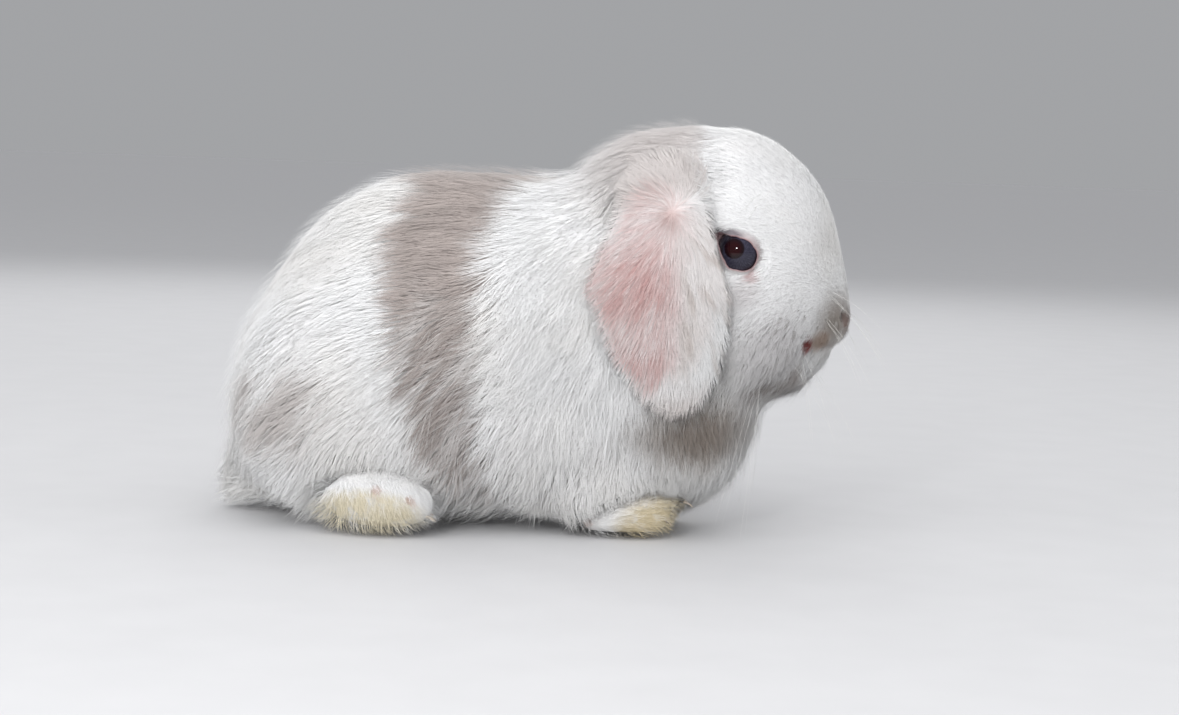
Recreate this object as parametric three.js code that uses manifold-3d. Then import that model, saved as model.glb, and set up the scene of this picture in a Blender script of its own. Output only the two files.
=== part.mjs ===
// A young lop-eared rabbit at rest on its four feet, as a still life-size model.
// Millimetres, +Z up, +X towards the nose, +Y towards its left side. Z = 0 is the ground.
//
// The animal is one smooth form: the zero surface of a field made of softly joined ellipsoids.
// It is meshed region by region, and parted into head, neck, trunk, tail and legs by thin curved cuts.
// The outline is that of the coat, so fur shows here only as the roundness of the body.
import * as THREE from "three";
import { mergeVertices } from "three/addons/utils/BufferGeometryUtils.js";
import Module from "manifold-3d";

const wasm = await Module();
wasm.setup();

// ---------------------------------------------------------------- driving dimensions

const CUT = 0.3; // width of the cut between two pieces
const BACK_Z = 112.5; // highest point of the back
const CROWN_Z = 129.5; // highest point of the head
const BARREL_HALF_WIDTH = 43;
const HAUNCH_HALF_WIDTH = 50;
const HEAD_HALF_WIDTH = 33;
const FOREPAW_Y = 18; // half the distance between the two forepaws
const HIND_FOOT_Y = 39;
const EYE = { x: 65.8, y: 24.8, z: 90.4, radius: 7.4 };

// Each lump of flesh and coat has its middle, its three half sizes, how far it is tipped nose-down,
// and how many millimetres its joint with the lumps before it is rounded over.
const BARREL = { at: [-27, 0, 60], radii: [58.5, BARREL_HALF_WIDTH, BACK_Z - 60], round: 1 };
const RUMP = { at: [-60, 0, 35], radii: [38, 42, 37], round: 22 };
const BELLY = { at: [-12, 0, 36], radii: [52, 37, 34], round: 16 };
const SHOULDERS = { at: [14, 0, 73], radii: [35, 36, 38], round: 18 };
const CHEST = { at: [36, 0, 44], radii: [38.5, 34, 40], round: 18 };
const THIGH = { at: [-50, HAUNCH_HALF_WIDTH - 19, 42], radii: [36, 19, 37], tip: 12, round: 12 };
const HIND_FOOT = { at: [-41, HIND_FOOT_Y, 10], radii: [21.5, 10.5, 11.5], round: 5 };
const HOCK = { at: [-43, HIND_FOOT_Y - 3, 17], radii: [15, 10, 9], round: 6 };
const FORELEG = { at: [24, FOREPAW_Y + 2, 22], radii: [14, 11, 22], round: 8 };
const FOREPAW = { at: [33, FOREPAW_Y, 6.8], radii: [16.5, 9, 8.4], tip: 8, round: 8 };
const TAIL = { at: [-88.5, 0, 13], radii: [13, 14, 15], tip: -12, round: 8 };
const SKULL = { at: [55.5, 0, 87.5], radii: [40.5, HEAD_HALF_WIDTH, CROWN_Z - 87.5], round: 7 };
const NAPE_TUFT = { at: [34, 0, 104], radii: [21, 25, 22], round: 10 };
const CHEEK = { at: [64, 19, 68], radii: [22, HEAD_HALF_WIDTH - 19, 20], round: 14 };
const MUZZLE = { at: [82, 0, 72], radii: [16.5, 15, 14], tip: -20, round: 12 };
const NOSE = { at: [90, 0, 71], radii: [8.5, 8, 7.5], round: 6 };
const CHIN = { at: [78, 0, 57.5], radii: [16, 12.5, 13], round: 4 };
const EYE_DISH = { at: [EYE.x, EYE.y + 8.6, EYE.z], radii: [7.2, 4.6, 7], round: 2 };

const EAR = {
  x: 42.5, y: 38.5, z: 79, // middle of the leaf
  halfWidth: 22.5, halfLength: 40, halfThickness: 4.8,
  tipTaper: 0.12, // share of its width that the leaf loses towards its tip
  waist: 0.7, // how much it narrows between its middle and its root
  lean: 6.5, // how far forward the tip hangs
  droop: 15, // how far the leaf comes in to the crown at its root
  cup: 2.6, // how far its edges curl in to the cheek
  tuck: 2, // how far the tip comes in
};

const EAR_SECTORS = 18; // facets round each ear
const EAR_ROOM = 1.8; // room that the head and the neck leave round an ear
const EAR_ROOM_SECTORS = 16;
const TRUNK_CELL = 11; // facet size of each region
const HEAD_CELL = 6.6;
const LEG_CELL = 6;
const GROUND_ROOM = 400; // side of the block of air that the pieces are kept in

// ---------------------------------------------------------------- fields

/** Signed distance, nearly, to a lump. */
function lump({ at, radii, tip = 0 }) {
  const c = Math.cos(THREE.MathUtils.degToRad(tip));
  const s = Math.sin(THREE.MathUtils.degToRad(tip));
  return (x, y, z) => {
    const dx = x - at[0];
    const dy = y - at[1];
    const dz = z - at[2];
    const u = (c * dx - s * dz) / radii[0];
    const v = dy / radii[1];
    const w = (s * dx + c * dz) / radii[2];
    const near = Math.hypot(u, v, w);
    const slope = Math.hypot(u / radii[0], v / radii[1], w / radii[2]);
    return (near * (near - 1)) / Math.max(slope, 1e-9);
  };
}

/** The same lump on both sides of the body. */
function pair(shape) {
  const left = lump(shape);
  return (x, y, z) => left(x, Math.abs(y), z);
}

/** The nearer of two distances, rounded off over reach millimetres. */
function softMin(a, b, reach) {
  const share = Math.max(reach - Math.abs(a - b), 0) / reach;
  return Math.min(a, b) - (share * share * reach) / 4;
}

/** Fields joined one after another, each with its own rounding. */
function joined(...steps) {
  return (x, y, z) => steps.reduce((d, [field, reach]) => softMin(d, field(x, y, z), reach), Infinity);
}

/** Lumps joined one after another. Those off the middle are there on both sides. */
function grown(...shapes) {
  return joined(...shapes.map((shape) => [shape.at[1] ? pair(shape) : lump(shape), shape.round]));
}

/** A field with another scooped out of it, rounded over reach. */
function scooped(field, hollow, reach) {
  return (x, y, z) => -softMin(-field(x, y, z), hollow(x, y, z), reach);
}

const head = scooped(grown(SKULL, NAPE_TUFT, CHEEK, MUZZLE, NOSE, CHIN), pair(EYE_DISH), EYE_DISH.round);

const body = joined(
  [grown(BARREL, RUMP, BELLY, SHOULDERS, CHEST), BARREL.round],
  [pair(THIGH), THIGH.round],
  [grown(HIND_FOOT, HOCK), HIND_FOOT.round],
  [grown(FORELEG, FOREPAW), FORELEG.round],
  [lump(TAIL), TAIL.round],
  [head, SKULL.round],
);

// ---------------------------------------------------------------- solids

/**
 * Closed mesh of the surface on which field is zero, between two corners, by surface nets:
 * one vertex in each cell that the surface crosses, and one quad across each grid edge that it crosses.
 */
function meshOf(field, low, high, cell) {
  const count = low.map((v, i) => Math.ceil((high[i] - v) / cell) + 1);
  const index = (i, j, k) => (k * count[1] + j) * count[0] + i;
  const place = (i, j, k) => [low[0] + i * cell, low[1] + j * cell, low[2] + k * cell];
  const values = new Float32Array(count[0] * count[1] * count[2]);
  for (let k = 0; k < count[2]; k++)
    for (let j = 0; j < count[1]; j++)
      for (let i = 0; i < count[0]; i++) {
        const rim = [i, j, k].some((n, axis) => n === 0 || n === count[axis] - 1);
        const value = field(...place(i, j, k));
        values[index(i, j, k)] = rim ? Math.max(value, cell / 2) : value;
      }

  const positions = [];
  const vertexOf = new Map();
  for (let k = 0; k < count[2] - 1; k++)
    for (let j = 0; j < count[1] - 1; j++)
      for (let i = 0; i < count[0] - 1; i++) {
        const crossings = cellCrossings(values, index, place, i, j, k);
        if (!crossings.length) continue;
        const mean = [0, 1, 2].map((a) => crossings.reduce((sum, p) => sum + p[a], 0) / crossings.length);
        vertexOf.set(index(i, j, k), positions.length / 3);
        positions.push(...settled(field, mean, cell / 2));
      }

  const triangles = [];
  for (let k = 0; k < count[2] - 1; k++)
    for (let j = 0; j < count[1] - 1; j++)
      for (let i = 0; i < count[0] - 1; i++)
        for (let axis = 0; axis < 3; axis++) {
          const step = [0, 1, 2].map((a) => Number(a === axis));
          const here = values[index(i, j, k)];
          const there = values[index(i + step[0], j + step[1], k + step[2])];
          if (here < 0 === there < 0) continue;
          const b = [0, 1, 2].map((a) => Number(a === (axis + 1) % 3));
          const c = [0, 1, 2].map((a) => Number(a === (axis + 2) % 3));
          const quad = [
            index(i - b[0] - c[0], j - b[1] - c[1], k - b[2] - c[2]),
            index(i - c[0], j - c[1], k - c[2]),
            index(i, j, k),
            index(i - b[0], j - b[1], k - b[2]),
          ].map((n) => vertexOf.get(n));
          if (there < 0) quad.reverse();
          triangles.push(...split(quad, positions));
        }
  return new THREE.BufferGeometry()
    .setAttribute("position", new THREE.Float32BufferAttribute(positions, 3))
    .setIndex(triangles);
}

const CORNERS = [0, 1, 2, 3, 4, 5, 6, 7].map((n) => [n & 1, (n >> 1) & 1, n >> 2]);
const EDGES = CORNERS.flatMap((a, m) =>
  [1, 2, 4].filter((bit) => !(m & bit)).map((bit) => [a, CORNERS[m | bit]]),
);

/** Points at which the surface crosses the twelve edges of a cell. */
function cellCrossings(values, index, place, i, j, k) {
  return EDGES.flatMap(([a, b]) => {
    const va = values[index(i + a[0], j + a[1], k + a[2])];
    const vb = values[index(i + b[0], j + b[1], k + b[2])];
    if (va < 0 === vb < 0) return [];
    const pa = place(i + a[0], j + a[1], k + a[2]);
    const pb = place(i + b[0], j + b[1], k + b[2]);
    return [pa.map((v, n) => v + ((pb[n] - v) * va) / (va - vb))];
  });
}

/** A point moved on to the zero surface along the field's slope, by no more than reach. */
function settled(field, start, reach) {
  const p = [...start];
  const h = 0.05;
  for (let pass = 0; pass < 3; pass++) {
    const value = field(...p);
    const slope = [0, 1, 2].map((a) => {
      const q = [...p];
      q[a] += h;
      return (field(...q) - value) / h;
    });
    const steepness = Math.max(slope[0] ** 2 + slope[1] ** 2 + slope[2] ** 2, 0.05);
    slope.forEach((s, a) => {
      p[a] = THREE.MathUtils.clamp(p[a] - (value * s) / steepness, start[a] - reach, start[a] + reach);
    });
  }
  return p;
}

/** A quad as two triangles, along its shorter diagonal. */
function split([a, b, c, d], positions) {
  const gap = (m, n) => Math.hypot(...[0, 1, 2].map((i) => positions[3 * m + i] - positions[3 * n + i]));
  return gap(a, c) < gap(b, d) ? [a, b, c, a, c, d] : [a, b, d, b, c, d];
}

function solidOf(geometry) {
  const plain = geometry.clone();
  plain.deleteAttribute("normal");
  plain.deleteAttribute("uv");
  const merged = mergeVertices(plain, 1e-4);
  return new wasm.Manifold(
    new wasm.Mesh({
      numProp: 3,
      vertProperties: merged.attributes.position.array,
      triVerts: new Uint32Array(merged.index.array),
    }),
  );
}

function geometryOf(solid) {
  const mesh = solid.getMesh();
  return new THREE.BufferGeometry()
    .setAttribute("position", new THREE.BufferAttribute(new Float32Array(mesh.vertProperties), 3))
    .setIndex(new THREE.BufferAttribute(new Uint32Array(mesh.triVerts), 1));
}

/** A ball of three radii, as the region that a piece is cut out by. */
function ball(centre, radii, grow = 0) {
  const geometry = new THREE.SphereGeometry(1, 12, 8)
    .scale(...radii.map((r) => r + grow))
    .translate(...centre);
  return solidOf(geometry);
}

/**
 * The right or left ear: a long leaf that leaves the crown, bends over and hangs beside the cheek.
 * A unit ball gives its points: x runs across the leaf, z up it and y through it.
 */
function ear(side, grow = 0, sectors = EAR_SECTORS) {
  const geometry = new THREE.SphereGeometry(1, sectors, Math.round(0.6 * sectors));
  const points = geometry.attributes.position;
  for (let i = 0; i < points.count; i++) {
    const across = points.getX(i);
    const through = points.getY(i);
    const along = points.getZ(i);
    const tip = Math.max(-along, 0);
    const root = Math.max(along, 0);
    const width = EAR.halfWidth * (1 - EAR.tipTaper * tip - EAR.waist * root * (1 - root)) + grow;
    const droop = EAR.droop * root ** 2;
    const out = EAR.y - droop - EAR.cup * across ** 2 - EAR.tuck * tip ** 2;
    points.setXYZ(
      i,
      EAR.x + EAR.lean * tip + across * width,
      side * (out + side * through * (EAR.halfThickness + grow)),
      EAR.z + along * (EAR.halfLength + grow),
    );
  }
  return solidOf(geometry);
}

/** The biggest body of a solid, without crumbs that a cut left. */
function biggest(solid) {
  return solid.decompose().reduce((a, b) => (a.volume() > b.volume() ? a : b));
}

const above = solidOf(
  new THREE.BoxGeometry(GROUND_ROOM, GROUND_ROOM, GROUND_ROOM).translate(0, 0, GROUND_ROOM / 2),
);

/** The field's solid round a region, on and above the ground. */
function meshed(field, centre, radii, cell) {
  const low = centre.map((v, i) => v - radii[i] - 2.2 * cell);
  const high = centre.map((v, i) => v + radii[i] + 2.2 * cell);
  return solidOf(meshOf(field, low, high, cell)).intersect(above);
}

// ---------------------------------------------------------------- the pieces

const COAT = { color: 0xf1efeb, roughness: 0.9, metalness: 0 };
const EAR_COAT = { color: 0xe2cbc4, roughness: 0.9, metalness: 0 };
const IRIS = { color: 0x39404f, roughness: 0.08, metalness: 0 };

// Each region is cut out of what the regions before it have left.
const both = (name, region) =>
  [["right", -1], ["left", 1]].map(([word, side]) => ({
    ...region,
    name: `${name}_${word}`,
    centre: [region.centre[0], side * region.centre[1], region.centre[2]],
  }));

const REGIONS = [
  { name: "head", centre: [62, 0, 89], radii: [46, 60, 50], cell: HEAD_CELL },
  { name: "neck", centre: [44, 0, 85], radii: [48, 60, 56], cell: TRUNK_CELL },
  ...both("forepaw", { centre: [40, 17, 4], radii: [24, 15, 12], cell: LEG_CELL }),
  ...both("foreleg", { centre: [26, 24, 22], radii: [20, 17, 25], cell: LEG_CELL }),
  ...both("hind_foot", { centre: [-41, 42, 6], radii: [24, 17, 18], cell: LEG_CELL }),
  ...both("thigh", { centre: [-50, 46, 44], radii: [36, 26, 38], cell: TRUNK_CELL }),
  { name: "tail", centre: [-101, 0, 15], radii: [17, 18, 24], cell: LEG_CELL },
];

const ears = [["ear_right", -1], ["ear_left", 1]].map(([name, side]) => ({
  name,
  solid: ear(side),
  room: ear(side, EAR_ROOM, EAR_ROOM_SECTORS),
}));

const eyes = [["eye_right", -1], ["eye_left", 1]].map(([name, side]) => {
  const centre = [EYE.x, side * EYE.y, EYE.z];
  const radii = [EYE.radius, EYE.radius, EYE.radius];
  return { name, solid: ball(centre, radii), room: ball(centre, radii, CUT) };
});

const rooms = [...ears, ...eyes].map(({ room }) => room).reduce((all, room) => all.add(room));

const pieces = [];
let taken = rooms;
for (const { name, centre, radii, cell } of REGIONS) {
  const whole = meshed(body, centre, radii, cell).intersect(ball(centre, radii));
  pieces.push({ name, solid: biggest(whole.subtract(taken)), finish: COAT });
  taken = taken.add(ball(centre, radii, CUT));
}
const trunk = meshed(body, [-10, 0, 62], [100, 58, 62], TRUNK_CELL).subtract(taken);
pieces.push({ name: "trunk", solid: biggest(trunk), finish: COAT });
ears.forEach(({ name, solid }) => pieces.push({ name, solid, finish: EAR_COAT }));
eyes.forEach(({ name, solid }) => pieces.push({ name, solid, finish: IRIS }));

const rabbit = new THREE.Group();
for (const { name, solid, finish } of pieces) {
  const mesh = new THREE.Mesh(geometryOf(solid), new THREE.MeshStandardMaterial(finish));
  mesh.name = name;
  rabbit.add(mesh);
}

// The frame's origin is under the middle of the whole animal, on the ground.
const box = new THREE.Box3().setFromObject(rabbit);
const middle = box.getCenter(new THREE.Vector3());
rabbit.position.set(-middle.x, -middle.y, -box.min.z);

export default rabbit;
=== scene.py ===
"""A young lop-eared rabbit: one skin under a coat of solid tufts, with eyes, claws and whiskers.

The scene is in metres, with +Z up, +X towards the nose and +Y towards the animal's left side.
Shapes are worked out in millimetres, in arrays, and turned into metres where a mesh is made.
"""
import math

import bmesh
import bpy
import numpy as np
from bpy.props import FloatProperty, FloatVectorProperty, IntProperty, PointerProperty
from mathutils import Matrix, Vector
from mathutils.bvhtree import BVHTree
from mathutils.kdtree import KDTree


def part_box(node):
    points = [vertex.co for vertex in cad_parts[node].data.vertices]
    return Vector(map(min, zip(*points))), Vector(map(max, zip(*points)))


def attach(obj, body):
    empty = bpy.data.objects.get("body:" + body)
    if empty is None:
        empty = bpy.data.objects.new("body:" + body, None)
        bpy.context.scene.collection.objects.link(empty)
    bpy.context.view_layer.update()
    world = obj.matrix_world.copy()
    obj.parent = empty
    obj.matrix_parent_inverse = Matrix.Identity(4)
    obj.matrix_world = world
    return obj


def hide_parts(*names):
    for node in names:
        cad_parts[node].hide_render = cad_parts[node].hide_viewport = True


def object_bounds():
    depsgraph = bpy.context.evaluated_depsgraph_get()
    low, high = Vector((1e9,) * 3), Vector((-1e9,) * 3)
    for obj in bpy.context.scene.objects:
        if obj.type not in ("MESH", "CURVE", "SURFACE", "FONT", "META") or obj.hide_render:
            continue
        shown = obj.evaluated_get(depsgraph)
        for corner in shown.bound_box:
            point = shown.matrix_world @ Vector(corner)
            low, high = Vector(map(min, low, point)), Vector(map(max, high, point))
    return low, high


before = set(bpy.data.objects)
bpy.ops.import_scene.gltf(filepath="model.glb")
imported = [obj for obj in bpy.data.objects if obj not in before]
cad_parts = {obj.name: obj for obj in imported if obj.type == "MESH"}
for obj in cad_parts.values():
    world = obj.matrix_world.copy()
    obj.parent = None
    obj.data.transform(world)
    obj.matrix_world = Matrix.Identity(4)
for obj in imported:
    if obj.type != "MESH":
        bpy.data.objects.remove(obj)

bl_info = {
    "name": "Lop Rabbit",
    "version": (1, 0, 0),
    "blender": (4, 5, 0),
    "location": "3D View > Sidebar > Rabbit",
    "description": "Skin, coat, eyes, claws and whiskers of a lop-eared rabbit round its solid frame",
    "category": "Object",
}

MM = 0.001
CAD_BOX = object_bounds()
SIDES = (("right", -1), ("left", 1))
MAP = "OFBake"  # the skin's unwrap, which the coat shares


# ---------------------------------------------------------------- places in the frame


def span(node):
    """Lowest and highest corner of a node, in millimetres."""
    low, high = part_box(node)
    return np.array(low) / MM, np.array(high) / MM


def at(node, along, out, up):
    """A place in a node's box: along from its rear end, out from the middle plane to the left, and up."""
    low, high = span(node)
    return np.array(
        [low[0] + along * (high[0] - low[0]), out * high[1], low[2] + up * (high[2] - low[2])]
    )


def mirrored(place, side):
    """A place given on the left, on the side asked for."""
    return np.array(place, float) * (1, side, 1)


def on_left(places):
    """Places, with those on the right turned over to the left."""
    return places * (1, 0, 1) + np.abs(places * (0, 1, 0))


EYE = (span("eye_left")[0] + span("eye_left")[1]) / 2
EYE_RADIUS = (span("eye_left")[1][0] - span("eye_left")[0][0]) / 2
EAR_LOW, EAR_HIGH = span("ear_left")
EAR_MIDDLE = (EAR_LOW + EAR_HIGH) / 2
EAR_HALF = (EAR_HIGH - EAR_LOW) / 2
WHORL = at("ear_left", 0.575, 0.9, 0.795)  # where the hair of the ear parts, near its root
NOSTRIL = at("head", 0.985, 0.085, 0.335)
MOUTH_CORNER = at("head", 0.848, 0.56, 0.270)
LIP = at("head", 0.94, 0.0, 0.235)  # where the two lips meet the chin
CHIN_CREASE = at("head", 0.82, 0.36, 0.12)

FLESH = [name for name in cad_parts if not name.startswith(("ear_", "eye_"))]
FEET = ("forepaw_right", "forepaw_left", "hind_foot_right", "hind_foot_left")


# ---------------------------------------------------------------- small tools


def unit(vectors):
    """Vectors made one long."""
    lengths = np.linalg.norm(vectors, axis=-1, keepdims=True)
    return vectors / np.maximum(lengths, 1e-9)


def ramp(value, low, high):
    """0 at low, 1 at high, and smooth between them."""
    t = np.clip((np.asarray(value, float) - low) / (high - low), 0, 1)
    return t * t * (3 - 2 * t)


def blend(a, b, share):
    """a where share is 0 and b where it is 1."""
    return a + (b - a) * share


def read(items, key, width, kind=np.float32):
    """One property of all of a mesh's vertices, edges or corners, as the rows of an array."""
    flat = np.empty(len(items) * width, kind)
    items.foreach_get(key, flat)
    return flat.reshape(-1, width)


def coordinates(mesh):
    """Places of a mesh's vertices, in millimetres."""
    return read(mesh.vertices, "co", 3).astype(float) / MM


def move_to(mesh, places):
    """Puts a mesh's vertices at places in millimetres."""
    mesh.vertices.foreach_set("co", (places * MM).astype(np.float32).ravel())
    mesh.update()


def normals(mesh):
    """The way each vertex of a mesh faces."""
    return read(mesh.vertex_normals, "vector", 3).astype(float)


def corners(mesh):
    """Vertices of each triangle of a mesh of triangles."""
    return read(mesh.loops, "vertex_index", 1, np.int32).reshape(-1, 3)


def mesh_from(name, shape):
    """A mesh from a bmesh, which is freed."""
    mesh = bpy.data.meshes.new(name)
    shape.to_mesh(mesh)
    shape.free()
    return mesh


def link_piece(name, mesh):
    """A new object in the scene."""
    piece = bpy.data.objects.new(name, mesh)
    bpy.context.scene.collection.objects.link(piece)
    return piece


def through(mesh, *modifiers):
    """A mesh after modifiers, each given as its type and its settings."""
    carrier = link_piece("carrier", mesh)
    for kind, settings in modifiers:
        modifier = carrier.modifiers.new(kind, kind)
        for key, value in settings.items():
            setattr(modifier, key, value)
    depsgraph = bpy.context.evaluated_depsgraph_get()
    made = bpy.data.meshes.new_from_object(carrier.evaluated_get(depsgraph))
    bpy.data.objects.remove(carrier)
    bpy.data.meshes.remove(mesh)
    return made


def mesh_of(name, places, triangles):
    """A mesh from places in millimetres and its triangles."""
    mesh = bpy.data.meshes.new(name)
    mesh.vertices.add(len(places))
    mesh.loops.add(len(triangles) * 3)
    mesh.polygons.add(len(triangles))
    mesh.vertices.foreach_set("co", (places * MM).astype(np.float32).ravel())
    mesh.loops.foreach_set("vertex_index", np.asarray(triangles, np.int32).ravel())
    mesh.polygons.foreach_set("loop_start", np.arange(0, len(triangles) * 3, 3, dtype=np.int32))
    mesh.update(calc_edges=True)
    mesh.shade_smooth()
    return mesh


def store(mesh, name, values):
    """Values kept on a mesh's vertices: numbers, or places in metres."""
    kind, key = ("FLOAT", "value") if np.ndim(values) == 1 else ("FLOAT_VECTOR", "vector")
    attribute = mesh.attributes.new(name, kind, "POINT")
    attribute.data.foreach_set(key, np.asarray(values, np.float32).ravel())


def finished(piece, material, slot, *replaced):
    """Gives a piece its material and slot, lets it ride on the frame, and hides the nodes it stands for."""
    piece.data.materials.append(material)
    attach(piece, "root")
    if replaced:
        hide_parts(*replaced)


def tube(route, radii, sides):
    """Places and triangles of a closed tapered tube along a route."""
    route = np.asarray(route, float)
    forward = unit(np.gradient(route, axis=0))
    across = unit(np.cross(forward, forward[0] + (0.3, 0.5, 0.8)))
    over = np.cross(across, forward)
    angles = np.linspace(0, 2 * np.pi, sides, endpoint=False)
    rings = (
        route[:, None]
        + np.cos(angles)[None, :, None] * across[:, None] * np.asarray(radii)[:, None, None]
        + np.sin(angles)[None, :, None] * over[:, None] * np.asarray(radii)[:, None, None]
    )
    places = np.concatenate([rings.reshape(-1, 3), route[[0, -1]]])
    first, last = len(places) - 2, len(places) - 1
    triangles = []
    for ring in range(len(route) - 1):
        for k in range(sides):
            a, b = ring * sides + k, ring * sides + (k + 1) % sides
            triangles += [(a, a + sides, b), (b, a + sides, b + sides)]
    end = (len(route) - 1) * sides
    for k in range(sides):
        following = (k + 1) % sides
        triangles += [(first, k, following), (last, end + following, end + k)]
    return places, np.array(triangles)


def gathered(shapes):
    """Several (places, triangles) as one."""
    places, triangles, count = [], [], 0
    for these, faces in shapes:
        places.append(these)
        triangles.append(np.asarray(faces) + count)
        count += len(these)
    return np.concatenate(places), np.concatenate(triangles)


# ---------------------------------------------------------------- grooming

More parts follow.
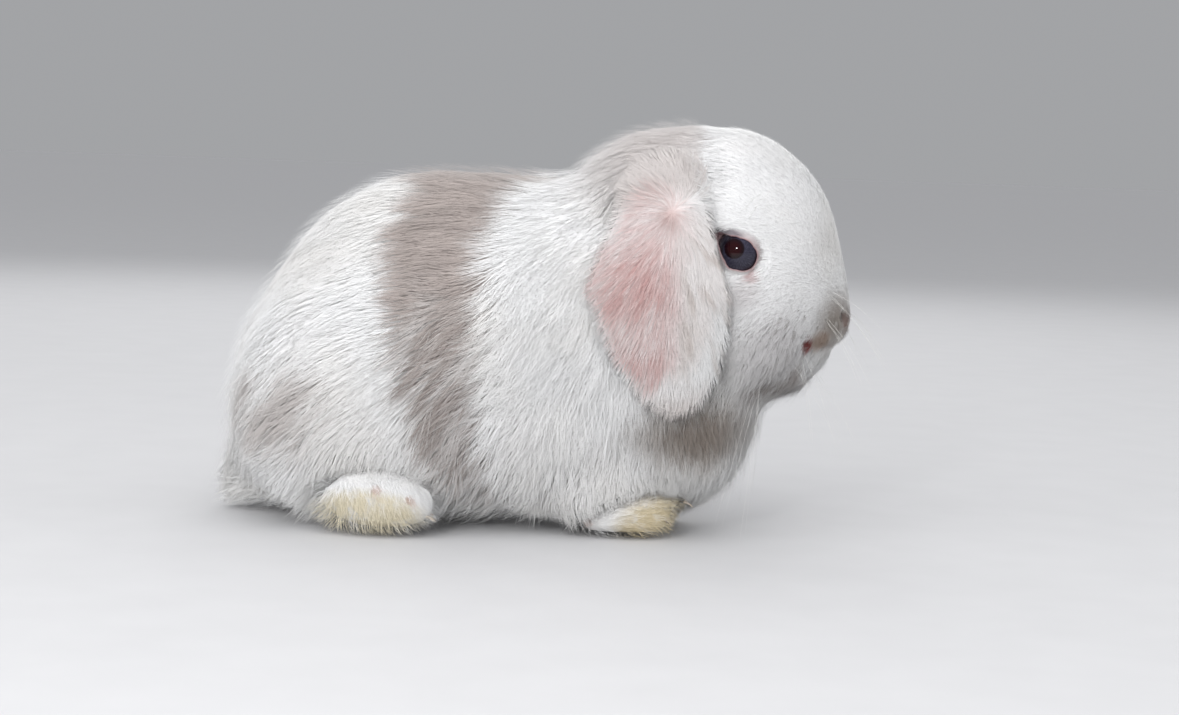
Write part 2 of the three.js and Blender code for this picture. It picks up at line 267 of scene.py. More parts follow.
# Each row is a node, a place in its box, the way the hair lies there (forward, outward, up),
# the depth of the coat, the length and the width of a tuft, how close the tufts stand, and how
# far they gather in locks.
GROOM = (
    ("head", (0.98, 0.00, 0.46), (-0.50, 0.20, 0.90), 0.7, 1.7, 0.129, 2.6, 0),  # bridge of the nose
    ("head", (0.93, 0.40, 0.40), (-0.90, 0.30, 0.10), 1.2, 2.4, 0.138, 2.6, 0),  # side of the muzzle
    ("head", (0.97, 0.15, 0.26), (-0.50, 0.50, -0.60), 0.9, 1.9, 0.129, 2.6, 0),  # upper lip
    ("head", (0.85, 0.00, 0.77), (-0.70, 0.10, 0.70), 1.5, 3, 0.146, 2.1, 0),  # forehead
    ("head", (0.80, 0.60, 0.62), (-0.80, 0.20, 0.45), 1.4, 2.7, 0.146, 2.3, 0),  # before the eye
    ("head", (0.72, 0.70, 0.43), (-0.85, 0.20, -0.35), 2, 3.6, 0.155, 2.2, 0.05),  # cheek
    ("head", (0.62, 0.78, 0.72), (-0.95, 0.10, 0.20), 1.5, 2.9, 0.146, 2.2, 0),  # above the eye
    ("head", (0.50, 0.80, 0.55), (-0.80, 0.10, -0.50), 1.8, 3.8, 0.172, 1.6, 0.1),  # behind the eye
    ("head", (0.72, 0.75, 0.22), (-0.35, 0.10, -0.90), 3.0, 7.0, 0.17, 2.2, 0.2),  # jowl
    ("head", (0.80, 0.20, 0.07), (-0.90, 0.10, -0.35), 2.0, 4.0, 0.14, 2.6, 0.1),  # under the chin
    ("head", (0.62, 0.00, 1.00), (-0.95, 0.05, 0.20), 1.8, 4.0, 0.146, 2.2, 0),  # before the crown
    ("head", (0.60, 0.45, 0.93), (-0.95, 0.10, 0.15), 1.8, 4.0, 0.146, 2.2, 0),  # and beside it
    ("head", (0.45, 0.00, 0.99), (-1.00, 0.00, 0.05), 3.2, 7.5, 0.15, 2.3, 0.1),  # crown
    ("head", (0.45, 0.55, 0.88), (-0.90, 0.30, -0.10), 3.6, 8.5, 0.155, 2.4, 0.12),  # root of the ear
    ("head", (0.35, 0.90, 0.45), (-0.50, 0.00, -0.85), 2.4, 5.0, 0.22, 1.2, 0),  # beneath the ear
    ("neck", (0.30, 0.00, 0.95), (-0.95, 0.00, -0.16), 3.2, 11.0, 0.165, 2.2, 0.06),  # nape
    ("neck", (0.25, 0.80, 0.70), (-0.85, 0.10, -0.50), 3.3, 13.0, 0.18, 2.1, 0.2),  # ruff, upper
    ("neck", (0.25, 0.90, 0.35), (-0.45, 0.10, -0.90), 4.0, 14.0, 0.20, 1.8, 0.4),  # ruff, lower
    ("neck", (0.75, 0.20, 0.05), (-0.20, 0.10, -0.95), 4.5, 11.0, 0.18, 2.1, 0.3),  # throat
    ("trunk", (0.62, 0.00, 0.99), (-1.00, 0.00, -0.05), 3.6, 11, 0.215, 1.7, 0.22),  # withers
    ("trunk", (0.42, 0.00, 1.00), (-1.00, 0.00, 0.00), 3.0, 9.0, 0.19, 1.9, 0.0),  # back
    ("trunk", (0.20, 0.00, 0.86), (-0.90, 0.00, -0.45), 3.0, 9.5, 0.19, 1.9, 0.0),  # loin
    ("trunk", (0.06, 0.00, 0.60), (-0.60, 0.00, -0.80), 3.2, 10.5, 0.2, 1.8, 0.08),  # rump
    ("trunk", (0.03, 0.20, 0.30), (-0.50, 0.10, -0.85), 4.4, 13, 0.232, 1.5, 0.35),  # above the tail
    ("trunk", (0.42, 0.80, 0.76), (-0.98, 0.05, -0.20), 3.0, 10.0, 0.2, 1.8, 0.04),  # flank, upper
    ("trunk", (0.46, 0.95, 0.52), (-0.88, 0.08, -0.50), 3.6, 14.0, 0.19, 1.8, 0.35),  # flank, middle
    ("trunk", (0.50, 0.92, 0.30), (-0.62, 0.10, -0.80), 4.2, 15.5, 0.2, 1.8, 0.5),  # flank, lower
    ("trunk", (0.50, 0.75, 0.10), (-0.35, 0.20, -0.95), 5, 11, 0.241, 1.4, 0.55),  # side of the belly
    ("trunk", (0.45, 0.00, 0.02), (-0.95, 0.00, -0.20), 3.5, 9, 0.43, 0.5, 0.2),  # belly
    ("trunk", (0.65, 0.90, 0.62), (-0.50, 0.10, -0.88), 3.8, 17.5, 0.2, 1.8, 0.4),  # shoulder, upper
    ("trunk", (0.68, 0.90, 0.38), (-0.22, 0.10, -0.98), 4.2, 17.5, 0.2, 1.7, 0.45),  # shoulder, lower
    ("trunk", (0.85, 0.70, 0.36), (-0.02, 0.10, -1.00), 4, 13, 0.2, 1.6, 0.4),  # side of the chest
    ("trunk", (1.00, 0.00, 0.46), (-0.05, 0.10, -1.00), 3.4, 10.0, 0.17, 2.2, 0.3),  # breast, top
    ("head", (0.60, 0.20, 0.00), (-0.45, 0.10, -0.85), 3.0, 8.0, 0.16, 2.4, 0.3),  # behind the chin
    ("trunk", (0.99, 0.00, 0.30), (-0.10, 0.00, -1.00), 4.0, 10.0, 0.18, 1.8, 0.4),  # breast
    ("thigh_left", (0.55, 0.90, 0.95), (-0.90, 0.05, -0.40), 3.0, 10.0, 0.2, 1.8, 0.0),
    ("thigh_left", (0.50, 1.00, 0.50), (-0.82, 0.10, -0.60), 3.2, 11.0, 0.21, 1.7, 0.08),
    ("thigh_left", (0.15, 0.92, 0.35), (-0.72, 0.10, -0.72), 4.0, 13.0, 0.22, 1.7, 0.3),
    ("thigh_left", (0.60, 0.97, 0.12), (-0.30, 0.25, -0.95), 2.4, 10.0, 0.15, 2.8, 0.15),
    ("foreleg_left", (0.55, 0.95, 0.60), (0.02, 0.10, -1.00), 3.4, 8, 0.19, 1.8, 0.35),
    ("foreleg_left", (0.70, 0.90, 0.15), (0.35, 0.20, -0.90), 1.2, 4.2, 0.145, 2.8, 0.1),
    ("foreleg_left", (0.95, 0.60, 0.38), (0.15, 0.20, -0.95), 1.8, 5.5, 0.15, 2.7, 0.2),
    ("forepaw_left", (0.60, 0.60, 0.90), (0.60, 0.25, 0.20), 2.0, 5.5, 0.13, 2.6, 0.15),
    ("forepaw_left", (0.95, 0.60, 0.40), (0.75, 0.10, -0.60), 2.2, 3.6, 0.13, 2.6, 0.15),
    ("hind_foot_left", (0.50, 0.90, 0.60), (0.45, 0.15, -0.60), 2.6, 4.6, 0.13, 2.8, 0.05),
    ("hind_foot_left", (0.40, 0.70, 1.00), (-0.15, 0.35, 0.60), 3.0, 7.5, 0.135, 2.6, 0.1),
    ("hind_foot_left", (0.95, 0.85, 0.35), (0.75, 0.15, -0.60), 2.6, 4.2, 0.13, 2.6, 0.2),
    ("hind_foot_left", (0.05, 0.90, 0.40), (-0.70, 0.25, -0.55), 3.8, 7.5, 0.135, 2.6, 0.1),
    ("tail", (0.30, 0.00, 0.95), (-0.80, 0.00, -0.50), 4.5, 11, 0.232, 1.6, 0.35),
    ("tail", (0.10, 0.30, 0.30), (-0.85, 0.15, -0.45), 4.5, 12, 0.232, 1.6, 0.35),
)
EAR_GROOM = (1.6, 5.0, 0.13, 2.0, 0.05)  # the same sizes on the ears
EAR_TOP_GROOM = (3.2, 8.0, 0.155, 2.3, 0.2)  # and where they spring from the crown
EAR_BACK, EAR_FALL = 0.22, 0.25  # how the hair of the ear leans back, and falls
EAR_BEND = 0.7  # how much more it falls in front
EAR_INSET = 0.8  # how far the ears' skin lies inside their solids
BODY, FOOT, EAR = 0, 1, 2  # kinds of coat, which don't mix where they meet
GUIDE_CORE, GUIDE_POWER = 16, 2.2  # square of the reach round a row's place, and how fast it fades

GROOM_PLACES = np.array([at(node, *place) for node, place, *_ in GROOM])
GROOM_FLOWS = unit(np.array([flow for _, _, flow, *_ in GROOM]))
GROOM_SIZES = np.array([sizes for _, _, _, *sizes in GROOM])
GROOM_KINDS = np.array([FOOT if node in FEET else BODY for node, *_ in GROOM])


def kinds_of(owners):
    """The kind of coat that grows on each node."""
    kinds = np.where(np.char.startswith(owners, "ear_"), EAR, BODY)
    return np.where(np.isin(owners, FEET), FOOT, kinds)


def groomed(places, kinds):
    """Lie of the hair, and depth, length, width, closeness and gathering of the coat, at places."""
    side = np.where(places[:, 1] < 0, -1.0, 1.0)
    left = on_left(places)
    weights = np.empty((len(left), len(GROOM)))
    for row, guide in enumerate(GROOM_PLACES):
        mixes = (kinds == FOOT) == (GROOM_KINDS[row] == FOOT)
        weights[:, row] = mixes / (np.sum((left - guide) ** 2, 1) + GUIDE_CORE) ** GUIDE_POWER
    weights /= weights.sum(1, keepdims=True)
    flow = weights @ GROOM_FLOWS
    sizes = weights @ GROOM_SIZES

    ear = (kinds == EAR)[:, None]
    ahead = ramp(left[:, 0] - WHORL[0], -6, 12)
    fall = np.stack([-EAR_BACK * (1 - ahead), 0 * ahead, -EAR_FALL - EAR_BEND * ahead], 1)
    top = ramp(left[:, 2] - WHORL[2], 0, 8)[:, None]
    fall = fall * (1 - top) + top * (-0.6, 0, 0.1)
    flow = np.where(ear, unit(unit((left - WHORL) * (1, 0, 1)) + fall), unit(flow))
    sizes = np.where(ear, blend(np.array(EAR_GROOM)[None], np.array(EAR_TOP_GROOM)[None], top), sizes)
    flow[:, 1] *= side
    return flow, sizes


# ---------------------------------------------------------------- settings


class SkinSettings(bpy.types.PropertyGroup):
    """Sizes of the skin."""

    cell: FloatProperty(
        name="Cell", description="Size of the skin's facets", default=1.1 * MM, unit="LENGTH", precision=5
    )
    cut: FloatProperty(
        name="Cut closed",
        description="How far each solid swells to close the cuts between them",
        default=0.35 * MM,
        unit="LENGTH",
        precision=5,
    )
    pink: FloatVectorProperty(
        name="Bare skin", description="Colour of bare skin", subtype="COLOR", default=(0.40, 0.24, 0.25)
    )


class CoatSettings(bpy.types.PropertyGroup):
    """Colours and amount of the coat."""

    seed: IntProperty(name="Seed", description="Which of the many coats is grown", default=7)
    amount: FloatProperty(
        name="Amount", description="Share of the full number of tufts", default=1.0, min=0.01, max=1.0
    )
    clumping: FloatProperty(
        name="Clumping", description="How far tufts lean together into locks", default=1.0, min=0, max=1
    )
    white: FloatVectorProperty(
        name="White", description="Colour of the coat", subtype="COLOR", default=(0.918, 0.920, 0.924)
    )
    cream: FloatVectorProperty(
        name="Cream", description="Warmer white in patches", subtype="COLOR", default=(0.90, 0.888, 0.87)
    )
    saddle: FloatVectorProperty(
        name="Saddle",
        description="Colour of the band over the back",
        subtype="COLOR",
        default=(0.46, 0.40, 0.375),
    )
    crown: FloatVectorProperty(
        name="Crown", description="Colour behind the crown", subtype="COLOR", default=(0.66, 0.615, 0.60)
    )
    stain: FloatVectorProperty(
        name="Stain", description="Colour of the stained feet", subtype="COLOR", default=(0.82, 0.74, 0.55)
    )


class EyeSettings(bpy.types.PropertyGroup):
    """Colours of the eyes."""

    iris: FloatVectorProperty(
        name="Iris", description="Darker colour of the iris", subtype="COLOR", default=(0.024, 0.023, 0.039)
    )
    iris_light: FloatVectorProperty(
        name="Iris, light",
        description="Lighter colour of the iris",
        subtype="COLOR",
        default=(0.044, 0.041, 0.063),
    )
    pupil: FloatVectorProperty(
        name="Pupil", description="Colour deep in the pupil", subtype="COLOR", default=(0.016, 0.001, 0.002)
    )


class StageSettings(bpy.types.PropertyGroup):
    """Camera and light."""

    azimuth: FloatProperty(
        name="Azimuth",
        description="Camera's place round the animal",
        default=math.radians(7),
        subtype="ANGLE",
    )
    elevation: FloatProperty(
        name="Elevation", description="Camera's height as an angle", default=math.radians(5), subtype="ANGLE"
    )
    roll: FloatProperty(
        name="Roll", description="Turn of the camera about its view", default=math.radians(2), subtype="ANGLE"
    )
    distance: FloatProperty(
        name="Distance", description="Camera's distance from its target", default=0.73, unit="LENGTH"
    )
    light: FloatProperty(name="Light", description="Strength of all lamps", default=1.0, min=0)


# ---------------------------------------------------------------- shader expressions


class Socket:
    """An output socket that arithmetic can be written with. Each operation adds its node."""

    def __init__(self, shader, output):
        self.shader = shader
        self.output = output

    def maths(self, operation, *values):
        return self.shader.node("ShaderNodeMath", dict(enumerate(values)), {"operation": operation})

    def __add__(self, other):
        return self.maths("ADD", self, other)

    def __sub__(self, other):
        return self.maths("SUBTRACT", self, other)

    def __rsub__(self, other):
        return self.maths("SUBTRACT", other, self)

    def __mul__(self, other):
        return self.maths("MULTIPLY", self, other)

    def __truediv__(self, other):
        return self.maths("DIVIDE", self, other)

    def __rtruediv__(self, other):
        return self.maths("DIVIDE", other, self)

    def __pow__(self, other):
        return self.maths("POWER", self, other)

    def __abs__(self):
        return self.maths("ABSOLUTE", self)

    __radd__ = __add__
    __rmul__ = __mul__

    def larger(self, other):
        return self.maths("MAXIMUM", self, other)

    def smaller(self, other):
        return self.maths("MINIMUM", self, other)


class Shader:
    """The nodes of one material, or of the world."""

    def __init__(self, name, world=False):
        self.material = bpy.data.worlds.new(name) if world else bpy.data.materials.new(name)
        self.material.use_nodes = True
        self.tree = self.material.node_tree
        self.tree.nodes.clear()

    def node(self, kind, sockets=None, settings=None, output=0):
        """A node of a kind, with its settings made first, and its sockets given values or links."""
        made = self.tree.nodes.new(kind)
        for key, value in (settings or {}).items():
            setattr(made, key, value)
        for key, value in (sockets or {}).items():
            if isinstance(value, Socket):
                self.tree.links.new(value.output, made.inputs[key])
            else:
                made.inputs[key].default_value = value
        return Socket(self, made.outputs[output]) if len(made.outputs) else None

    def mix(self, a, b, share, way="MIX"):
        """Colour a where share is 0 and colour b, or a multiplied by it, where share is 1."""
        full = [value if isinstance(value, Socket) else (*value, 1) for value in (a, b)]
        settings = {"data_type": "RGBA", "blend_type": way}
        return self.node("ShaderNodeMix", {"Factor": share, 6: full[0], 7: full[1]}, settings, 2)

    def shaded(self, colour, share):
        """A colour made darker or lighter by a number."""
        return self.mix(colour, self.combined(share, share, share), 1.0, "MULTIPLY")

    def combined(self, *parts):
        """A vector or a grey colour from three numbers."""
        return self.node("ShaderNodeCombineXYZ", dict(enumerate(parts)))

    def parts(self, vector):
        """The three numbers of a vector."""
        return [self.node("ShaderNodeSeparateXYZ", {0: vector}, output=axis) for axis in range(3)]

    def vector(self, operation, a, b):
        """A vector multiplied by a vector or, to scale it, by a number."""
        key = "Scale" if operation == "SCALE" else 1
        return self.node("ShaderNodeVectorMath", {0: a, key: b}, {"operation": operation})

    def attribute(self, name, output="Fac"):
        """What is stored under a name on the mesh."""
        return self.node("ShaderNodeAttribute", settings={"attribute_name": name}, output=output)

    def ramp(self, value, low, high):
        """0 at low, 1 at high, and smooth between them."""
        return self.node(
            "ShaderNodeMapRange",
            {"Value": value, "From Min": low, "From Max": high},
            {"interpolation_type": "SMOOTHSTEP"},
        )

    def between(self, value, low, high, first, last):
        """first where value is low and last where it is high, in a straight line."""
        return self.node(
            "ShaderNodeMapRange",
            {"Value": value, "From Min": low, "From Max": high, "To Min": first, "To Max": last},
        )

    def noise(self, place, scale, detail, stretch=(1, 1, 1)):
        """Noise of about one wave per 1/scale millimetres, stretched along the axes."""
        spread = self.vector("MULTIPLY", place, stretch)
        return self.node("ShaderNodeTexNoise", {"Vector": spread, "Scale": scale, "Detail": detail})

    def background(self):
        """1 for what sees the background: the camera, reflections, and the look through glass."""
        names = ("Is Camera Ray", "Is Glossy Ray", "Is Transmission Ray")
        rays = [self.node("ShaderNodeLightPath", output=name) for name in names]
        return (rays[0] + rays[1] + rays[2]).smaller(1.0)

    def place(self):
        """The place on the surface, in millimetres."""
        metres = self.node("ShaderNodeTexCoord", output="Object")
        return self.vector("SCALE", metres, 1 / MM)

    def surfaced(self, sockets):
        """The material, with a surface that has these values and links."""
        surface = self.node("ShaderNodeBsdfPrincipled", sockets)
        self.node("ShaderNodeOutputMaterial", {"Surface": surface})
        return self.material


CROWN_FRONT = at("head", 0.47, 0, 1)[0]  # where the colour of the crown ends
EAR_PINK = (0.63, 0.385, 0.37)
SPECK_SCALE = 0.32  # specks on the cheek lie about three millimetres apart

# Marks of the head, in the order they are laid: centre, half sizes, the share of them that is full,
# colour, strength, and what breaks the mark up: a texture, its values where the mark is weakest and
# where it is full, and the strength at its weakest.
HEAD_MARKS = (
    # smudge of the muzzle
    (at("head", 0.95, 0.25, 0.335), (13.5, 17, 13), 0.1, (0.385, 0.335, 0.295), 0.93, ("grain", 0.1, 0.5, 0)),
    # nose
    (at("head", 1.0, 0.10, 0.325), (3.6, 9, 7.5), 0.5, (0.22, 0.16, 0.145), 0.95, ("bars", 0.40, 0.6, 0.35)),
    # cheek, greyer: partly its grey tone, partly painted shade of its lower half
    (at("head", 0.72, 0.7, 0.25), (19, 22, 15), 0.3, (0.52, 0.495, 0.50), 0.55, None),
    # painted shade in the hollow below the eye
    (EYE + (3.0, 9.0, -11.5), (8, 12, 8), 0.2, (0.50, 0.45, 0.455), 0.45, None),
    # lower edge of the jaw: partly brownish fur, partly painted shade beneath it
    (at("head", 0.74, 0.40, 0.125), (18, 20, 6.5), 0.3, (0.17, 0.12, 0.10), 0.8, ("grain", 0.35, 0.55, 0)),
    # chin, greyer: partly its grey fur, partly painted shade of its underside
    (at("head", 0.86, 0.2, 0.10), (9, 12, 9), 0.4, (0.60, 0.57, 0.57), 0.6, None),
    # painted shade in the crease behind the chin
    (at("head", 0.815, 0.45, 0.17), (3.0, 14, 5.5), 0.5, (0.36, 0.31, 0.29), 0.7, ("grain", 0.2, 0.5, 0)),
    # line of the mouth, tan before its corner, and the corner
    ((MOUTH_CORNER + LIP) / 2 + (2, 0, 0.5), (9, 12, 1.5), 0.3, (0.33, 0.25, 0.235), 0.45, None),
    (MOUTH_CORNER + (4.4, -4, 0.3), (4.8, 12, 4.4), 0.5, (0.40, 0.29, 0.225), 0.85, None),
    (MOUTH_CORNER + (0.4, 0, -0.2), (2.1, 8, 3.1), 0.6, (0.19, 0.018, 0.014), 1.0, None),
    # rim of the lids, upper lid, below the front corner of the eye, and painted shade in the crease at its
    # rear corner
    (EYE + (0.2, 3.0, 0.0), (7.9, 7.6, 6.9), 0.75, (0.38, 0.275, 0.28), 0.75, None),
    (EYE + (-3.4, 4.5, 5.2), (6.4, 6, 2.2), 0.5, (0.15, 0.125, 0.145), 0.85, None),
    (EYE + (4.9, 2.5, -7.2), (3.4, 6, 3.4), 0.5, (0.50, 0.33, 0.33), 0.8, ("grain", 0.3, 0.6, 0)),
    (EYE + (-7.2, 4.0, 5.4), (3.4, 6, 2.6), 0.5, (0.03, 0.025, 0.03), 0.9, None),
)


class Markings:
    """The coat's colours, worked out from a place on the skin in millimetres."""

    def __init__(self, shader, place, along):
        self.shader = shader
        self.place = place
        self.along = along
        self.x, self.y, self.z = shader.parts(place)
        self.out = abs(self.y)

    def near(self, centre, radii, inner=0.5):
        """1 inside an ellipsoid there is on both sides, and 0 outside it."""
        parts = [
            (value - float(middle)) * (1 / float(radius))
            for value, middle, radius in zip((self.x, self.out, self.z), centre, radii)
        ]
        distance = (parts[0] ** 2 + parts[1] ** 2 + parts[2] ** 2) ** 0.5
        return self.shader.ramp(distance, 1.0, inner)

    def body(self):
        """White in slow patches, with the band over the back and the smudges of throat and rump."""
        s = self.shader
        look = bpy.context.scene.rabbit_coat
        patches = s.noise(self.place, 0.03, 3)
        colour = s.mix(look.white, look.cream, s.ramp(patches, 0.4, 0.75))
        lean = s.ramp(self.z, 95, 45) * 1.1  # streaks lie level above, and slant down below
        streaks = s.noise(s.combined(self.x * 0.05, self.y * 0.12, (self.z - self.x * lean) * 0.3), 1.0, 3)
        middle = s.between(self.z, 40, 85, -17.5, -22.5) + s.between(self.z, 92, 110, 0.0, 8.0)
        middle = middle + s.between(self.z, 37, 12, 0.0, 9.0)
        half = s.between(self.z, 22, 86, 7.5, 15.0)
        spine = s.ramp(self.out, 16, 6) * s.ramp(self.z, 94, 106)
        ahead = (self.x - middle + (streaks - 0.5) * 16) / (half + spine * 8)
        band = s.ramp(abs(ahead), 1.25, 0.75)
        band = band * s.ramp(self.z + (streaks - 0.5) * 30, 4, 30)
        low = s.ramp(self.z, 84, 58)
        deep = s.between(self.along, 0.0, 0.8, 0.52, 1.0) * (1.0 - s.ramp(streaks, 0.48, 0.66) * 0.3)
        saddle = s.shaded(look.saddle, s.between(low, 0.0, 1.0, 1.0, 0.0) + low * deep)
        saddle = s.shaded(saddle, s.between(streaks, 0.35, 0.65, 0.86, 1.08))
        colour = s.mix(colour, saddle, band * (1.0 - low * s.ramp(streaks, 0.52, 0.36) * 0.6))
        # Brown of the throat: partly brownish fur, partly painted shade under the head
        throat = self.near(at("neck", 0.84, 0.50, 0.06) + (-7, 0, 5), (28, 40, 15), 0.2)
        colour = s.mix(colour, (0.19, 0.145, 0.115), throat * s.ramp(patches, 0.1, 0.4) * 0.88)
        smudge = self.near(at("thigh_left", 0.18, 0.80, 0.42), (28, 26, 19)) * s.ramp(streaks, 0.36, 0.6)
        return s.mix(colour, look.saddle, smudge * 0.65)

    def head(self, colour):
        """The crown's colour, and the marks of the face."""
        s = self.shader
        look = bpy.context.scene.rabbit_coat
        grain = s.noise(self.place, 0.5, 3)
        textures = {"grain": grain, "bars": s.noise(self.place, 0.5, 2, (1, 1, 2.2))}
        front = s.ramp(self.x + (grain - 0.5) * 4, CROWN_FRONT + 1.5, CROWN_FRONT - 1.5)
        crown = self.near(at("neck", 0.5, 0.0, 0.93), (34, 62, 28), 0.45) * front
        crown = crown * s.between(self.x, 14, 36, 0.2, 1.0)
        colour = s.mix(colour, look.crown, (crown * (0.85 + grain * 0.3)).smaller(1.0))
        for centre, radii, inner, tint, strength, broken in HEAD_MARKS:
            if broken:
                texture, low, high, least = broken
                strength = least + s.ramp(textures[texture], low, high) * (strength - least)
            colour = s.mix(colour, tint, self.near(centre, radii, inner) * strength)
        specks = s.node("ShaderNodeTexVoronoi", {"Vector": self.place, "Scale": SPECK_SCALE})
        region = self.near(at("head", 0.80, 0.6, 0.28), (14, 20, 14))
        return s.mix(colour, (0.25, 0.22, 0.20), s.ramp(specks, 0.24, 0.10) * region * 0.8)

    def ear(self, colour, chance=0.5):
        """The ear's thin middle, where pink skin shows between the hairs, inside its white rim."""
        s = self.shader
        look = bpy.context.scene.rabbit_coat
        ahead, above = self.x - float(WHORL[0]), self.z - float(WHORL[2])
        turn = above.maths("ARCTAN2", above, 0.0 - ahead)
        far = (ahead**2 + above**2) ** 0.5
        strands = s.noise(s.combined(turn * 8.0, far * 0.07, 0.0), 1.0, 3)
        wander = strands - 0.5
        colour = s.mix(colour, (0.86, 0.80, 0.785), s.ramp(above, 6.0, -6.0) * 0.6)
        aside = (self.x - float(EAR_MIDDLE[0])) * float(1 / EAR_HALF[0])
        along = (self.z - float(EAR_MIDDLE[2])) * float(1 / EAR_HALF[2])
        edge = (aside**2 + along**2) ** 0.5
        rim = s.ramp(edge + wander * 0.3, 0.66, 0.80) * s.ramp(above, -20.0, -32.0)
        colour = s.mix(colour, look.white, rim * s.ramp(above, -58.0, -46.0))
        fluff = s.ramp(above + wander * 12 - ahead * 0.25, 0.0, 7.0)
        colour = s.mix(colour, look.crown, fluff)
        middle = (((ahead + 9.0) * (1 / 17)) ** 2 + ((above + 29.5) * (1 / 26)) ** 2) ** 0.5
        upper = (((ahead + 4.0) * (1 / 12)) ** 2 + ((above + 7.0) * (1 / 15)) ** 2) ** 0.5
        leaf = s.ramp(middle.smaller(upper) + wander * 0.5, 1.04, 0.82)
        leaf = leaf * s.ramp(ahead + wander * 14, 8.5, -2.5)
        thin = s.ramp(s.noise(self.place, 0.11, 2), 0.3, 0.7)
        pink = leaf * (0.45 + thin * 0.4 + wander * 1.2 + (chance - 0.5) * 0.7)
        whorl = self.near(WHORL, (7, 20, 7), 0.2) * s.ramp(strands, 0.35, 0.6)
        pink = pink * s.between(above, -16.0, -2.0, 1.0, 0.6)
        pink = pink.larger(whorl * 0.3).larger(0.0).smaller(1.0) * (1.0 - rim)
        colour = s.mix(colour, EAR_PINK, pink)
        heart = self.near(WHORL + (-0.5, 0, -1.5), (4.5, 20, 5.5), 0.2)
        colour = s.mix(colour, (0.36, 0.20, 0.18), heart * (0.15 + strands * 0.8))
        front = s.ramp(ahead, 0.0, 7.0) * s.ramp(above, 4.0, -6.0) * s.ramp(above, -54.0, -44.0)
        return s.mix(colour, (0.52, 0.44, 0.40), front * s.ramp(strands, 0.46, 0.62) * 0.55)

    def feet(self, colour):
        """The stain of the paws and the hind feet, and their brown spots."""
        s = self.shader
        look = bpy.context.scene.rabbit_coat
        grain = s.noise(self.place, 0.22, 3)
        fore = self.near(at("forepaw_left", 0.70, 0.6, 0.3), (19, 15, 11), 0.6)
        hind = self.near(at("hind_foot_left", 0.45, 0.9, 0.3), (21, 13, 9), 0.6)
        colour = s.mix(colour, look.stain, hind * s.ramp(grain, 0.25, 0.5) * 0.95)
        colour = s.mix(colour, (0.71, 0.60, 0.385), fore * s.ramp(grain, 0.25, 0.5) * 0.95)
        spots = self.near(at("forepaw_left", 0.11, 0.9, 0.27), (4.2, 7, 3.2))
        spots = spots + self.near(at("hind_foot_left", 0.54, 1.0, 0.62), (2.6, 6, 2.4))
        spots = spots + self.near(at("hind_foot_left", 0.78, 0.96, 0.50), (2.4, 6, 2.2))
        return s.mix(colour, (0.50, 0.27, 0.20), spots * s.ramp(grain, 0.25, 0.45) * 0.65)


# ---------------------------------------------------------------- skin


def swollen(names, swell):
    """One mesh of copies of some nodes, swollen so that they overlap across the cuts."""
    joined = bmesh.new()
    for name in names:
        part = bmesh.new()
        part.from_mesh(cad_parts[name].data)
        bmesh.ops.remove_doubles(part, verts=part.verts, dist=1e-6)
        part.normal_update()
        for vertex in part.verts:
            vertex.co += vertex.normal * swell
        copy = mesh_from(name, part)
        joined.from_mesh(copy)
        bpy.data.meshes.remove(copy)
    return mesh_from("swollen", joined)


def remeshed(mesh, cell, passes):
    """One closed surface round a mesh, in facets of a size in metres, smoothed in passes."""
    return through(
        mesh,
        ("REMESH", {"mode": "VOXEL", "voxel_size": cell}),
        ("SMOOTH", {"factor": 0.5, "iterations": passes}),
    )


def shrunk(mesh, depth_of):
    """The mesh moved inwards by a depth that depends on the place."""
    places = coordinates(mesh)
    move_to(mesh, places - normals(mesh) * depth_of(places)[:, None])
    return mesh


def body_depth(places):
    """Depth of the coat on the body, less near the eyes."""
    depth = groomed(places, np.full(len(places), BODY))[1][:, 0]
    left = on_left(places)
    near_eye = ramp(np.linalg.norm(left - EYE, axis=1), EYE_RADIUS + 7, EYE_RADIUS + 1)
    return blend(depth, DEPTH_AT_EYE, near_eye)


def foot_depth(places):
    """Depth of the coat on the feet."""
    return groomed(places, np.full(len(places), FOOT))[1][:, 0]


DEPTH_AT_EYE = 1.0  # depth of the coat at the lids
BODY_CELL, FOOT_CELL, EAR_CELL = 1.5, 1.2, 1.0  # facets of the skins before they are joined
BODY_PASSES, FOOT_PASSES, EAR_PASSES, UNION_PASSES = 40, 16, 10, 6  # how often each is smoothed

# The flesh that joins the ear to the crown: places in the ear's box, and half sizes.
EAR_ROOTS = (
    ((0.50, 0.60, 0.83), (14, 6.5, 9.5)),
    ((0.52, 0.54, 0.90), (12, 6.5, 8)),
)


def skin_mesh(settings):
    """The skin before the face is made: the solids, less the depth of the coat, joined in one."""
    feet = [name for name in FLESH if name in FEET]
    rest = [name for name in FLESH if name not in feet]
    body = swollen(rest + ["eye_right", "eye_left"], settings.cut)
    body = shrunk(remeshed(body, BODY_CELL * MM, BODY_PASSES), body_depth)
    soles = shrunk(remeshed(swollen(feet, 0.0), FOOT_CELL * MM, FOOT_PASSES), foot_depth)
    ears = remeshed(swollen(["ear_right", "ear_left"], 0.0), EAR_CELL * MM, EAR_PASSES)
    shrunk(ears, lambda places: np.full(len(places), EAR_INSET))

    joined = bmesh.new()
    for part in (body, soles, ears):
        joined.from_mesh(part)
        bpy.data.meshes.remove(part)
    for _, side in SIDES:
        for place, radii in EAR_ROOTS:
            centre = mirrored(at("ear_left", *place), side) * MM
            bmesh.ops.create_icosphere(
                joined,
                subdivisions=3,
                radius=1,
                matrix=Matrix.Translation(centre) @ Matrix.Diagonal((*[r * MM for r in radii], 1)),
            )
    return fill_creases(remeshed(mesh_from("union", joined), settings.cell, UNION_PASSES))


